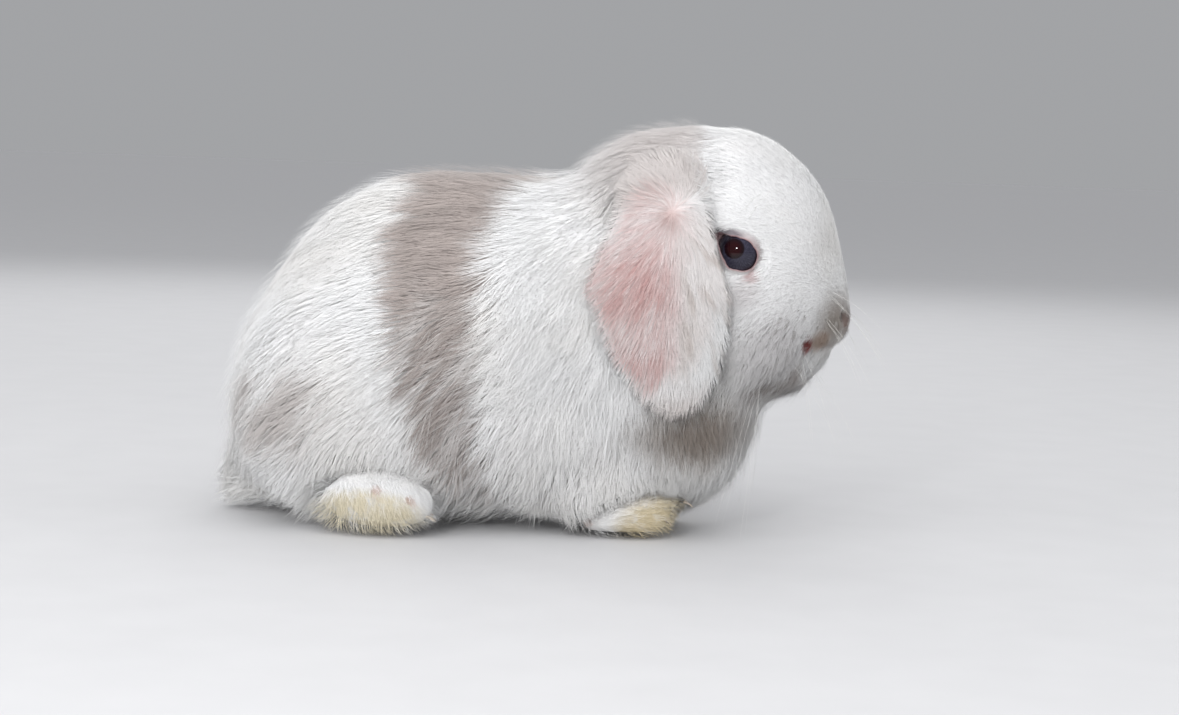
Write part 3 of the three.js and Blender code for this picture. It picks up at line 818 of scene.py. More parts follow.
def neighbours(mesh):
    """A function that turns vectors on a mesh's vertices into their mean over each one's neighbours."""
    pairs = read(mesh.edges, "vertices", 2, np.int32)
    ends = np.concatenate([pairs, pairs[:, ::-1]])
    count = np.maximum(np.bincount(ends[:, 0], minlength=len(mesh.vertices)), 1)

    def mean(vectors):
        sums = [np.bincount(ends[:, 0], vectors[ends[:, 1], k], len(count)) for k in range(3)]
        return np.stack(sums, 1) / count[:, None]

    return mean


CREASE_PASSES, LOW_PASSES = 14, 80  # how often creases are filled everywhere, and then only below
LOW_START, LOW_FULL = 40, 30  # heights where the second filling starts, and is full
BEHIND_EAR = at("neck", 0.31, 0.65, 0.74)  # a deep hollow that the second filling fills too
HOLLOW_EDGE, HOLLOW_FULL = 24, 14  # distances from its middle where that starts, and is full


def fill_creases(mesh):
    """Rounds out the creases between body, feet and ears, and further near the ground and
    behind the ears. Places only ever move outwards."""
    places = coordinates(mesh)
    mean = neighbours(mesh)
    left = on_left(places)
    free = ramp(np.linalg.norm(left - EYE, axis=1), EYE_RADIUS + 2, EYE_RADIUS + 7)
    for step in range(CREASE_PASSES + LOW_PASSES):
        if step == CREASE_PASSES:
            behind_ear = ramp(np.linalg.norm(left - BEHIND_EAR, axis=1), HOLLOW_EDGE, HOLLOW_FULL)
            free = np.maximum(ramp(places[:, 2], LOW_START, LOW_FULL), behind_ear)
        facing = normals(mesh)
        around = mean(places) if step < CREASE_PASSES else mean(mean(mean(places)))
        outward = np.maximum(((around - places) * facing).sum(1), 0) * free
        places = places + facing * outward[:, None]
        move_to(mesh, places)
    return mesh


def refined(mesh, zones):
    """The mesh in triangles, with its faces halved once for each zone (centre, reach) they lie in."""
    shape = bmesh.new()
    shape.from_mesh(mesh)
    for centre, reach in zones:
        middle, limit = Vector(centre) * MM, reach * MM
        edges = [
            edge
            for edge in shape.edges
            if all((vertex.co - middle).length < limit for vertex in edge.verts)
        ]
        bmesh.ops.subdivide_edges(shape, edges=edges, cuts=1, use_grid_fill=True)
    bmesh.ops.triangulate(shape, faces=shape.faces)
    shape.to_mesh(mesh)
    shape.free()


APERTURE_AXIS = unit(np.array((0.06, 1.0, 0.04)))  # the way the left eye looks
OPENING = (
    # turn from forwards through up, in degrees, and reach of the opening between the lids there
    (5, 4.9),
    (21, 4.3),
    (65, 3.9),
    (90, 3.9),
    (121, 5.2),
    (129, 6.4),
    (136, 7.6),
    (144, 8.6),
    (155, 7.2),
    (171, 5.9),
    (192, 5.2),
    (213, 4.9),
    (239, 5.5),
    (263, 5.2),
    (288, 5.7),
    (310, 5.9),
    (350, 5.3),
)
LID = 0.5  # how far the lid's edge stands over the eyeball
BEHIND_BALL = 1.2  # how far the skin of the hollow lies inside the eyeball
LID_TOP = 3.4  # how high over the eye's centre the lid's edge may follow the skin around it
LID_REACH = 6  # how far from the eyeball's side the skin is folded


def across_eye(places, side):
    """Height over the eye's centre along its axis, distance from the axis, how far that is
    beyond the opening between the lids, and the axis."""
    axis = mirrored(APERTURE_AXIS, side)
    forward = unit(np.array((1.0, 0, 0)) - axis * axis[0])
    upward = np.cross(axis, forward) * (-side)
    offset = places - mirrored(EYE, side)
    turn = np.arctan2(offset @ upward, offset @ forward)
    away = np.hypot(offset @ upward, offset @ forward)
    turns, reaches = np.array(OPENING, float).T
    return offset @ axis, away, away - np.interp(turn, np.radians(turns), reaches, period=2 * np.pi), axis


def lids(places, keep):
    """Lids folded over each eyeball, and a hollow behind their opening."""
    for _, side in SIDES:
        height, away, beyond, axis = across_eye(places, side)
        hidden = np.sqrt(np.maximum((EYE_RADIUS - BEHIND_BALL) ** 2 - away**2, 0.25))
        over = np.sqrt(np.maximum((EYE_RADIUS + LID) ** 2 - away**2, 0))
        edge = blend(hidden, np.maximum(over, np.minimum(height, LID_TOP)), ramp(beyond, -0.3, 0.35))
        skin = blend(edge, height, ramp(beyond, 0.7, 5.0))
        taken = (height > 0) & (away < EYE_RADIUS + LID_REACH) & keep
        places = places + axis * ((skin - height) * taken)[:, None]
    return places


def from_line(places, start, end):
    """Distance of places from the line between two points, on both sides of the body."""
    left = on_left(places)
    along = end - start
    share = np.clip((left - start) @ along / (along @ along), 0, 1)
    return np.linalg.norm(left - start - share[:, None] * along, axis=1)


def pressed(places, facing, start, end, width, depth):
    """Places pressed in along a line, or swollen where depth is less than 0."""
    press = depth * np.exp(-((from_line(places, start, end) / width) ** 2))
    return places - facing * press[:, None]


def face_folds(places, facing):
    """Nostrils, split lip, mouth and the crease behind the chin. Each fold is the two ends of a
    line, its width and its depth."""
    middle_lip = LIP * (1, 0, 1) + (1.5, 0, 0)
    under_nose = NOSTRIL * (1, 0, 1) + (1.0, 0, -1.0)
    folds = (
        (NOSTRIL + (0.6, -0.5, -1.0), NOSTRIL + (-1.6, 2.6, 1.6), 1.0, 1.9),
        (under_nose, middle_lip, 0.7, 1.0),
        (middle_lip, MOUTH_CORNER, 1.2, 0.35),
        (NOSTRIL * (1, 0, 1) + (0, 0, -1), NOSTRIL * (1, 0, 1) + (-2.2, 0, -5.0), 3.4, -2.0),
        (MOUTH_CORNER, MOUTH_CORNER + (-0.8, 0.4, -0.6), 1.5, 1.6),
        (MOUTH_CORNER, CHIN_CREASE, 1.4, 1.5),
    )
    for fold in folds:
        places = pressed(places, facing, *fold)
    return places


def beyond_lids(places):
    """How far places lie beyond the opening between the lids of the eye on their side."""
    beyond = np.full(len(places), 99.0)
    for _, side in SIDES:
        height, _, far, _ = across_eye(places, side)
        beyond = np.where((height > 0) & (places[:, 1] * side > 0), far, beyond)
    return beyond


# Bare lines of the nostril, the corner of the mouth and the split lip: their two ends, and the
# distances where the hair ends and where the skin is bare.
BARE_LINES = (
    (NOSTRIL, NOSTRIL + (-1.6, 2.0, 1.4), 2.0, 1.0),
    (MOUTH_CORNER, MOUTH_CORNER + (0.4, 0, 0), 1.8, 0.8),
    (NOSTRIL * (1, 0, 1), LIP * (1, 0, 1), 1.6, 0.6),
)


def bare_share(places):
    """How bare the skin is, from 0 to 1, at the lids, the nostrils and the lips."""
    bare = ramp(beyond_lids(places), 0.8, 0.35)
    for start, end, haired, free in BARE_LINES:
        bare = np.maximum(bare, ramp(from_line(places, start, end), haired, free))
    return bare


TOE_GAPS = (-0.42, 0.0, 0.42)  # places of the gaps between toes, as shares of half a foot's width
TOE_GAP_WIDTH, TOE_GAP_DEPTH, TOE_GAP_LENGTH = 1.5, 1.6, 10


def toe_folds(places, facing):
    """Gaps between the toes, pressed into the front of each foot."""
    for foot in ("forepaw_left", "hind_foot_left"):
        low, high = span(foot)
        for gap in TOE_GAPS:
            out = (low[1] + high[1]) / 2 + gap * (high[1] - low[1]) / 2
            start = np.array((high[0] - TOE_GAP_LENGTH, out, high[2] * 0.9))
            end = np.array((high[0], out, high[2] * 0.2))
            places = pressed(places, facing, start, end, TOE_GAP_WIDTH, TOE_GAP_DEPTH)
    return places


def nearest_nodes(places):
    """Name of the node whose surface is nearest to each place."""
    places_of, faces_of, owners, count = [], [], [], 0
    for name in sorted(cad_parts):
        if name.startswith("eye_"):
            continue
        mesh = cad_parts[name].data
        places_of += [vertex.co for vertex in mesh.vertices]
        faces_of += [[count + i for i in face.vertices] for face in mesh.polygons]
        owners += [name] * len(mesh.polygons)
        count += len(mesh.vertices)
    tree = BVHTree.FromPolygons(places_of, faces_of)
    return np.array([owners[tree.find_nearest(place)[2]] for place in places * MM])


def unwrapped(piece):
    """The skin's own unwrap, which the coat's patches lie on."""
    piece.data.uv_layers.new(name=MAP)
    bpy.context.view_layer.objects.active = piece
    piece.select_set(True)
    bpy.ops.object.mode_set(mode="EDIT")
    bpy.ops.mesh.select_all(action="SELECT")
    bpy.ops.uv.smart_project(angle_limit=math.radians(66), island_margin=0.004)
    bpy.ops.object.mode_set(mode="OBJECT")
    piece.select_set(False)


def skin_material(settings):
    s = Shader("skin")
    place = s.place()
    marks = Markings(s, place, s.ramp(s.noise(place, 0.5, 1), 0.0, 1.0) * 0.4)
    ear = s.attribute("ear")
    bare = s.attribute("bare")
    colour = marks.feet(marks.head(marks.body()))
    colour = s.mix(colour, marks.ear(colour), ear)
    raw = s.mix(settings.pink, (0.17, 0.12, 0.105), s.ramp(marks.x, NOSTRIL[0] - 9, NOSTRIL[0] - 5))
    colour = s.mix(colour, raw, bare * 0.85)
    fine = s.noise(place, 2.4, 4, (0.5, 1, 1))
    pores = s.noise(place, 6.0, 2)
    height = fine * 0.7 + pores * 0.3
    bump = s.node("ShaderNodeBump", {"Strength": 0.35, "Distance": 0.3 * MM, "Height": height})
    return s.surfaced(
        {
            # Painted shade: the skin's colour is darkened to between 0.78 and 0.98, like the shade deep in
            # the coat
            "Base Color": s.shaded(colour, 0.78 + fine * 0.2),
            "Roughness": 0.75 - bare * 0.3,
            "Normal": bump,
            "Specular IOR Level": 0.3,
        }
    )


# Where the skin's facets are halved, and how far round: once for each row, on both sides of the
# body, and then in its middle plane.
SIDE_ZONES = ((EYE, EYE_RADIUS + 4), (EYE, EYE_RADIUS + 2.6), (MOUTH_CORNER, 8))
MIDDLE_ZONES = ((NOSTRIL * (1, 0, 1), 13), (NOSTRIL * (1, 0, 1) + (0, 0, -1), 8))
SOLE_HEIGHT = 0.5  # the skin's lowest height over the ground


class RABBIT_OT_skin(bpy.types.Operator):
    """Make the one skin under the coat, with lids, nostrils, mouth and ears"""

    bl_idname = "rabbit.skin"
    bl_label = "Skin"

    def execute(self, context):
        settings = context.scene.rabbit_skin
        mesh = skin_mesh(settings)
        zones = [(mirrored(centre, side), reach) for _, side in SIDES for centre, reach in SIDE_ZONES]
        refined(mesh, (*zones, *MIDDLE_ZONES))
        places = coordinates(mesh)
        owners = nearest_nodes(places)
        ear = np.char.startswith(owners, "ear_")
        facing = normals(mesh)
        places = toe_folds(face_folds(places, facing), facing)
        places = lids(places, ~ear)
        places[:, 2] = np.maximum(places[:, 2], SOLE_HEIGHT)
        move_to(mesh, places)
        mesh.name = "skin"
        mesh.shade_smooth()
        piece = link_piece("skin", mesh)
        unwrapped(piece)
        store(mesh, "ear", ear.astype(float))
        store(mesh, "bare", bare_share(places) * ~ear)
        finished(piece, skin_material(settings), "coat", *FLESH, "ear_right", "ear_left")
        return {"FINISHED"}


# ---------------------------------------------------------------- coat

STEPS = np.array((0.0, 0.42, 1.0))  # root, waist and tip along a tuft
SIDE_ANGLES = np.array([90, 210, 330]) * np.pi / 180  # corners of a tuft's waist
FLATNESS = 0.3  # thickness of a tuft over its width
PATCH = 0.003  # size of a tuft's patch on the map
ROOTED = 0.5  # how deep in the skin a tuft starts
BROAD_PASSES = 50  # how far the form is smoothed that the coat is shaded by
UNDER_LIFT = 0.7  # how far hair that faces down is shaded as if it faced outwards
SPARED_BELOW = 0.75  # share of the tufts left out where the skin faces the ground

WHOLE = (0.0, 1.0)  # ends of nodes that aren't cut

# Name, nodes it grows on, rear and front end as shares of the head's or trunk's length, side (0 for
# both), slot, number of tufts, and the markings it wears.
COAT = (
    ("coat_face_right", ("head",), (0.60, 1.01), -1, "coat", 26500, ("head",)),
    ("coat_face_left", ("head",), (0.60, 1.01), 1, "coat", 21500, ("head",)),
    ("coat_crown", ("head",), (-0.01, 0.60), 0, "coat", 26000, ("head",)),
    ("coat_neck", ("neck",), WHOLE, 0, "coat", 22500, ("head",)),
    ("coat_ear_right", ("ear_right",), WHOLE, 0, "ear_coat", 22000, ("head", "ear")),
    ("coat_ear_left", ("ear_left",), WHOLE, 0, "ear_coat", 18500, ("head", "ear")),
    ("coat_shoulders", ("trunk",), (0.58, 1.01), 0, "coat", 26500, ()),
    ("coat_back", ("trunk",), (0.30, 0.58), 0, "coat", 20500, ()),
    ("coat_rump", ("trunk", "tail"), (-0.05, 0.30), 0, "coat", 22500, ()),
    ("coat_thighs", ("thigh_right", "thigh_left"), WHOLE, 0, "coat", 19500, ("feet",)),
    ("coat_legs", ("foreleg_right", "foreleg_left"), WHOLE, 0, "foot_coat", 6500, ("feet",)),
    ("coat_feet", FEET, WHOLE, 0, "foot_coat", 17500, ("feet",)),
)


class Ground:
    """The skin as arrays, to grow the coat on."""

    def __init__(self):
        mesh = bpy.data.objects["skin"].data
        self.places = coordinates(mesh)
        self.normals = normals(mesh)
        self.faces = corners(mesh)
        mean = neighbours(mesh)
        self.broad = self.normals
        for _ in range(BROAD_PASSES):
            self.broad = mean(self.broad)
        self.uv = read(mesh.uv_layers[MAP].data, "uv", 2).reshape(-1, 3, 2)
        corner_places = self.places[self.faces]
        self.middles = corner_places.mean(1)
        sides = corner_places[:, 1:] - corner_places[:, :1]
        turned = np.cross(sides[:, 0], sides[:, 1])
        self.areas = np.linalg.norm(turned, axis=1) / 2
        self.owners = nearest_nodes(self.middles)
        self.kinds = kinds_of(self.owners)
        self.bare = read(mesh.attributes["bare"].data, "value", 1)[self.faces, 0].max(1)
        self.close = groomed(self.middles, self.kinds)[1][:, 3]
        # Fewer tufts on faces that look down at the ground from close by, which nobody sees.
        hidden = ramp(unit(-turned)[:, 2], 0.6, 0.95) * ramp(self.middles[:, 2], 16, 8)
        self.open = 1 - SPARED_BELOW * hidden
        self.tree = BVHTree.FromPolygons(self.places.tolist(), self.faces.tolist())

    def nearest(self, place):
        """The place on the skin that is nearest to a place."""
        return np.array(self.tree.find_nearest(Vector(place))[0])

    def roots(self, nodes, ends, side, count, random):
        """Roots spread evenly by how close the tufts stand: place, normal, normal of the broad form,
        place on the map, and kind."""
        inside = np.isin(self.owners, nodes)
        if ends != WHOLE:
            low, high = span(nodes[0])
            share = (self.middles[:, 0] - low[0]) / (high[0] - low[0])
            inside &= (share > ends[0]) & (share <= ends[1])
        inside &= self.middles[:, 1] * side >= 0
        weight = self.areas * self.close * self.open * (1 - self.bare) * inside
        steps = np.cumsum(weight)
        marks = (np.arange(count) + random.random(count)) / count * steps[-1]
        face = np.minimum(np.searchsorted(steps, marks), len(steps) - 1)
        u, v = random.random((2, count))
        fold = u + v > 1
        u, v = np.where(fold, 1 - u, u), np.where(fold, 1 - v, v)
        shares = np.stack([1 - u - v, u, v], 1)[:, :, None]
        corner = self.faces[face]
        place = (self.places[corner] * shares).sum(1)
        normal = unit((self.normals[corner] * shares).sum(1))
        broad = unit((self.broad[corner] * shares).sum(1))
        chart = (self.uv[face] * shares).sum(1)
        return place, normal, broad, chart, self.kinds[face]


def paths(place, normal, flow, height, reach, sag):
    """Middle lines of tufts: they rise, lie over with the coat, and sag."""
    s = STEPS[None, :, None]
    rise = 1 - (1 - s) ** 2
    ahead = 0.42 * s + 0.58 * s**1.7
    line = place[:, None] + normal[:, None] * height[:, None, None] * rise
    line = line + flow[:, None] * reach[:, None, None] * ahead
    line[..., 2] -= sag[:, None] * STEPS[None] ** 2
    return line - normal[:, None] * ROOTED * (1 - s) ** 4


def waved(places, flow, normal, turn):
    """The lie turned a little about the normal, in slow waves over the body."""
    slow = np.sin(places @ (0.11, 0.07, -0.13) + 1.0) + 0.7 * np.sin(places @ (-0.23, 0.31, 0.19) + 2.2)
    slow = slow + 0.5 * np.sin(places @ (0.47, -0.38, 0.52))
    angle = (WAVE_TURN * slow + turn)[:, None]
    return flow * np.cos(angle) + np.cross(normal, flow) * np.sin(angle)


def locks(place, random, gather):
    """The leading tuft that each tuft leans towards, and how far, so that tufts gather in locks."""
    count = len(place)
    leaders = random.choice(count, max(count // LOCK, 1), replace=False)
    tree = KDTree(len(leaders))
    for index, leader in enumerate(leaders):
        tree.insert(place[leader], index)
    tree.balance()
    nearest = leaders[np.array([tree.find(root)[1] for root in place])]
    slow = np.sin(place @ (0.13, 0.09, -0.17) + 0.5) * np.sin(place @ (-0.09, 0.21, 0.12) + 1.1)
    pull = gather * (0.8 + 0.5 * slow) * (0.45 + 0.9 * random.random(count))
    return nearest, np.clip(pull, 0, LOCK_LIMIT)


def laid(place, normal, kinds, nearest, random, guard):
    """Lie, height, reach, sag and width of tufts at their roots, alike within a lock."""
    count = len(place)
    flow, sizes = groomed(place, kinds)
    depth, length, width, _, gather = sizes.T
    rise = (flow * normal).sum(1)
    flow = unit(flow - normal * rise[:, None])
    lock = random.normal(0, LOCK_TURN, count)[nearest] * (0.3 + 1.4 * gather)
    own = random.normal(0, TUFT_TURN, count) * np.where(kinds == FOOT, FOOT_TURN, 1.0 + 4.0 * gather)
    flow = waved(place, flow, normal, lock + own)
    out = np.where(kinds == EAR, np.clip(rise, 0, 1), 0)  # hair at the ear's edge stands out past it
    flow = unit(flow * (1 - FRINGE_STAND * out)[:, None] + normal * (FRINGE_STAND * out)[:, None])
    uneven = 0.12 + 0.4 * gather
    height = depth * (1.1 - uneven * random.random(count)[nearest] - 0.2 * random.random(count))
    total = length * (1.2 - uneven * random.random(count)[nearest] - 0.36 * random.random(count))
    stand = np.where(kinds == FOOT, FOOT_STAND + FOOT_SPREAD * random.random(count), 1)
    face = (place[:, 0] > CROWN_FRONT - 4) & (place[:, 2] > FACE_BOTTOM)
    tall = np.where(face, GUARD_ON_FACE, GUARD_HEIGHTS[kinds])
    height = height * np.where(guard, tall, 1) * (1 - 0.7 * out) * stand
    total = total * np.where(guard, GUARD_LENGTH, 1) * (1 - FRINGE_TRIM * out)
    total = np.maximum(total, height * 1.05)
    near_eye = blend(AT_LIDS, 1, ramp(beyond_lids(place), 0.5, 4.5))
    height, total = height * near_eye, total * near_eye
    reach = np.sqrt(np.maximum(total**2 - height**2, 0.6))
    return flow, height, reach, SAG * total, width * np.where(guard, GUARD_WIDTH, 1)


LOCK = 14  # tufts in a lock
LOCK_LIMIT = 0.92  # how far at most a tuft leans to its leader
WAVE_TURN = 0.11  # turn of the lie in the slow waves over the body
LOCK_TURN, TUFT_TURN = 0.25, 0.07  # spread of the lie between locks, and within one
GUARD = 0.12  # share of tufts that are long thin guard hairs
GUARD_HEIGHTS = np.array((2.0, 1.7, 1.7))  # how much higher they stand on body, feet and ears
GUARD_ON_FACE, FACE_BOTTOM = 1.25, 60  # the same on the face, and how low down the face reaches
GUARD_LENGTH, GUARD_WIDTH = 1.25, 0.4  # their length and width next to other tufts'
GUARD_PULL = 0.3  # how far they gather in locks next to other tufts
FRINGE_STAND, FRINGE_TRIM = 0.8, 0.6  # how far hair at the ear's edge stands out, and is shorter
FOOT_STAND, FOOT_SPREAD = 0.75, 0.9  # least height of tufts on the feet, and how much it differs
FOOT_TURN = 6.0  # how much more their lie is scattered than on the body
AT_LIDS = 0.4  # size of tufts at the lids next to other tufts'
SAG = 0.05  # how far tufts sag, as a share of their length
UNEVEN = 0.02  # scatter of a tuft's places, as a share of its height
LOWEST, LOWEST_SPREAD = 0.15, 0.25  # least height over the ground, and how much it differs
ROLL = 0.2  # spread of the turn of tufts about their own length
TUFT_CORNERS = 5  # root, three corners of the waist, and tip
TUFT_FACES = ((0, 1, 2), (0, 2, 3), (0, 3, 1), (1, 4, 2), (2, 4, 3), (3, 4, 1))


def tufts(ground, nodes, ends, side, count, settings, random):
    """Places, triangles, roots, shares along, chances, normals and map patches of one piece of coat."""
    place, normal, broad, chart, kinds = ground.roots(nodes, ends, side, count, random)
    nearest, pull = locks(place, random, settings.clumping * groomed(place, kinds)[1][:, 4])
    guard = random.random(count) < GUARD
    flow, height, reach, sag, width = laid(place, normal, kinds, nearest, random, guard)
    line = paths(place, normal, flow, height, reach, sag)
    s = STEPS[None, :, None]
    pull = np.where(guard, GUARD_PULL, 1) * pull
    line = line + (line[nearest] - line) * pull[:, None, None] * s**1.3
    line = line + random.normal(0, UNEVEN, line.shape) * (height[:, None, None] + 0.5) * s

    forward = unit(line[:, 2] - line[:, 0])
    across = unit(np.cross(forward, normal))
    over = np.cross(across, forward)
    roll = random.normal(0, ROLL, (count, 1))
    across, over = across * np.cos(roll) + over * np.sin(roll), over * np.cos(roll) - across * np.sin(roll)
    half = width * (0.75 + 0.5 * random.random(count)) / 2
    cosines = np.cos(SIDE_ANGLES)[None, :, None]
    sines = np.sin(SIDE_ANGLES)[None, :, None] * FLATNESS
    outward = cosines * across[:, None] + sines * over[:, None]
    waist = line[:, 1:2] + outward * half[:, None, None]
    places = np.concatenate([line[:, :1], waist, line[:, 2:]], 1)
    places[..., 2] = np.maximum(places[..., 2], LOWEST + LOWEST_SPREAD * random.random((count, 1)))
    triangles = np.arange(count)[:, None, None] * TUFT_CORNERS + np.array(TUFT_FACES)[None]

    share = np.where(kinds == EAR, 0, blend(0.85, 0.3, ramp(place[:, 0], CROWN_FRONT - 20, CROWN_FRONT)))
    soft = unit(blend(normal, broad, share[:, None]))
    soft = unit(soft + np.array((0, 0, 1)) * (UNDER_LIFT * np.clip(-soft[:, 2], 0, 1))[:, None])
    lean = unit(outward * 0.1 + soft[:, None])
    shading = np.concatenate([soft[:, None], lean, unit(soft[:, None] + forward[:, None] * 0.15)], 1)
    along = STEPS[[0, 1, 1, 1, 2]]
    patch = np.stack([np.array((0, -0.5, 0, 0.5, 0)), along - 0.5], 1) * PATCH
    return {
        "places": places.reshape(-1, 3),
        "triangles": triangles.reshape(-1, 3),
        "root": np.repeat(place * MM, TUFT_CORNERS, 0),
        "along": np.tile(along, count),
        "chance": np.repeat(random.random(count), TUFT_CORNERS),
        "normals": shading.reshape(-1, 3),
        "chart": (chart[:, None] + patch[None]).reshape(-1, 2),
    }


def coat_material(name, marks_worn):
    """The material of tufts, each in the colour of the skin's place at its root."""
    s = Shader(name)
    root = s.vector("SCALE", s.attribute("root", "Vector"), 1 / MM)
    along = s.attribute("along")
    chance = s.attribute("chance")
    marks = Markings(s, root, along)
    colour = marks.body()
    for worn in marks_worn:
        colour = marks.ear(colour, chance) if worn == "ear" else getattr(marks, worn)(colour)
    # Painted shade: tufts a little darker towards their roots, deep in the coat; each tuft is also a little
    # lighter or darker at random
    light = s.between(along, 0.0, 0.6, 0.97, 1.0) * (0.97 + chance * 0.05)
    return s.surfaced(
        {
            "Base Color": s.shaded(colour, light),
            "Roughness": 0.62,
            "Specular IOR Level": 0.25,
            "Sheen Weight": 0.3,
            "Sheen Roughness": 0.5,
        }
    )


def coat_operator(row):
    """The operator that grows one row of the coat."""
    name, nodes, ends, side, slot, count, marks_worn = row

    def execute(self, context):
        settings = context.scene.rabbit_coat
        random = np.random.default_rng(settings.seed * 101 + [r[0] for r in COAT].index(name))
        amount = int(count * settings.amount)
        made = tufts(RABBIT_GROUND[0], nodes, ends, side, amount, settings, random)
        mesh = mesh_of(name, made["places"], made["triangles"])
        for key in ("root", "along", "chance"):
            store(mesh, key, made[key])
        mesh.uv_layers.new(name=MAP)
        chart = made["chart"][made["triangles"].ravel()]
        mesh.uv_layers[MAP].data.foreach_set("uv", chart.astype(np.float32).ravel())
        mesh.normals_split_custom_set_from_vertices(made["normals"].astype(np.float32))
        piece = link_piece(name, mesh)
        fur = "fur_" + "_".join(marks_worn or ("body",))
        material = bpy.data.materials.get(fur) or coat_material(fur, marks_worn)
        finished(piece, material, slot)
        return {"FINISHED"}

    label = name.replace("_", " ").capitalize()
    return type(
        "RABBIT_OT_" + name,
        (bpy.types.Operator,),
        {
            "__doc__": f"Grow the tufts of {label.lower()}",
            "bl_idname": "rabbit." + name,
            "bl_label": label,
            "execute": execute,
        },
    )


RABBIT_GROUND = []  # the skin as last measured


class RABBIT_OT_ground(bpy.types.Operator):
    """Measure the skin, for the coat to grow on"""

    bl_idname = "rabbit.ground"
    bl_label = "Measure the skin"

    def execute(self, context):
        RABBIT_GROUND[:] = [Ground()]
        return {"FINISHED"}


# ---------------------------------------------------------------- eyes, claws and whiskers


GAZE = unit(np.array((0.04, 0.99, -0.07)))  # the way the left iris looks
IRIS, PUPIL = 0.72, 0.37  # radii of the iris and the pupil as shares of the eyeball's
PUPIL_PLACE = (-0.20, 0.23)  # the pupil's place in the iris, forwards and up
EYEBALL = 0.985  # radius of the ball as a share of its node's
CORNEA = 0.035  # how far the cornea bulges, as a share of that


def eye_material(settings):
    s = Shader("eye")
    place = s.attribute("eye_place", "Vector")
    side, up, _ = s.parts(place)
    rim = (side**2 + up**2) ** 0.5
    hole = ((side - PUPIL_PLACE[0]) ** 2 + (up - PUPIL_PLACE[1]) ** 2) ** 0.5
    turn = up.maths("ARCTAN2", up, side)
    spokes = s.noise(s.combined(turn * 3.0, rim * 2.0, 0.0), 4.0, 3.0)
    iris = s.shaded(s.mix(settings.iris, settings.iris_light, s.ramp(spokes, 0.35, 0.75)), 0.8 + spokes * 0.4)
    colour = s.mix(iris, (0.008, 0.006, 0.012), s.ramp(rim, IRIS - 0.10, IRIS))
    white = s.mix((0.022, 0.020, 0.028), (0.05, 0.04, 0.045), s.ramp(rim, 0.85, 1.0))
    colour = s.mix(colour, white, s.ramp(rim, IRIS + 0.02, IRIS + 0.10))
    deep = s.mix(settings.pupil, (0.008, 0.002, 0.004), s.ramp(hole, PUPIL * 0.5, PUPIL))
    colour = s.mix(deep, colour, s.ramp(hole, PUPIL, PUPIL + 0.07))
    return s.surfaced(
        {
            "Base Color": colour,
            "Roughness": 0.35,
            "Specular IOR Level": 0.0,
            "Coat Weight": 1.0,
            "Coat Roughness": 0.02,
            "Coat IOR": 1.36,
        }
    )


class RABBIT_OT_eyes(bpy.types.Operator):
    """Make the two eyeballs, each with a bulging cornea"""

    bl_idname = "rabbit.eyes"
    bl_label = "Eyes"

    def execute(self, context):
        material = eye_material(context.scene.rabbit_eyes)
        for word, side in SIDES:
            shape = bmesh.new()
            bmesh.ops.create_icosphere(shape, subdivisions=5, radius=1)
            mesh = mesh_from("eyeball_" + word, shape)
            unit_places = coordinates(mesh) * MM
            axis = mirrored(GAZE, side)
            forward = unit(np.array((1.0, 0, 0)) - axis * axis[0])
            upward = np.cross(axis, forward) * (-side)
            local = np.stack([unit_places @ forward, unit_places @ upward, unit_places @ axis], 1)
            bulge = 1 + CORNEA * ramp(local[:, 2], 0.55, 0.95)
            move_to(mesh, mirrored(EYE, side) + unit_places * EYE_RADIUS * EYEBALL * bulge[:, None])
            mesh.shade_smooth()
            store(mesh, "eye_place", local)
            finished(link_piece("eyeball_" + word, mesh), material, "eye", "eye_" + word)
        return {"FINISHED"}


def horn_material():
    s = Shader("claw_horn")
    place = s.place()
    bands = s.noise(place, 1.2, 2)
    colour = s.mix((0.62, 0.50, 0.40), (0.80, 0.72, 0.62), bands)
    return s.surfaced({"Base Color": colour, "Roughness": 0.3 + bands * 0.1})


CLAWED = (("forepaw", 3.0, 0.5), ("hind_foot", 3.4, 0.55))  # feet, and length and radius of their claws
TOES = 4  # claws on each foot
TOE_HEIGHT, CLAW_ROOT = 3.4, 1.2  # height of the claws' roots, and how deep they lie in the skin


class RABBIT_OT_claws(bpy.types.Operator):
    """Make the claws at the tips of the toes"""

    bl_idname = "rabbit.claws"
    bl_label = "Claws"

    def execute(self, context):
        material = horn_material()
        for limb, length, radius in CLAWED:
            for word, _ in SIDES:
                low, high = span(f"{limb}_{word}")
                middle, half = (low + high) / 2, (high - low) / 2
                shapes = []
                for toe in range(TOES):
                    spread = (toe - (TOES - 1) / 2) / (TOES / 2)
                    near = (high[0], middle[1] + spread * half[1] * 0.6, TOE_HEIGHT)
                    root = RABBIT_GROUND[0].nearest(near) - (CLAW_ROOT, 0, 0)
                    steps = np.linspace(0, 1, 7)[:, None]
                    route = root + steps * (length, 0.5 * spread, 0) + steps**2 * (0, 0, -1.6)
                    shapes.append(tube(route, radius * (1 - steps[:, 0] ** 1.5 * 0.85), 8))
                piece = link_piece(f"claws_{limb}_{word}", mesh_of("claws", *gathered(shapes)))
                finished(piece, material, "claw")
        return {"FINISHED"}


def whisker_material():
    return Shader("whisker_hair").surfaced({"Base Color": (0.88, 0.86, 0.83, 1), "Roughness": 0.35})


WHISKER_TIP, WHISKER_TAPER = 0.010, 0.021  # radius at the tip, and how much more it is at the root
WHISKER_SEED, WHISKER_SCATTER = 31, 1.8  # scatter of the roots round their row's place
WHISKER_LOWEST = 0.6  # least height over the ground

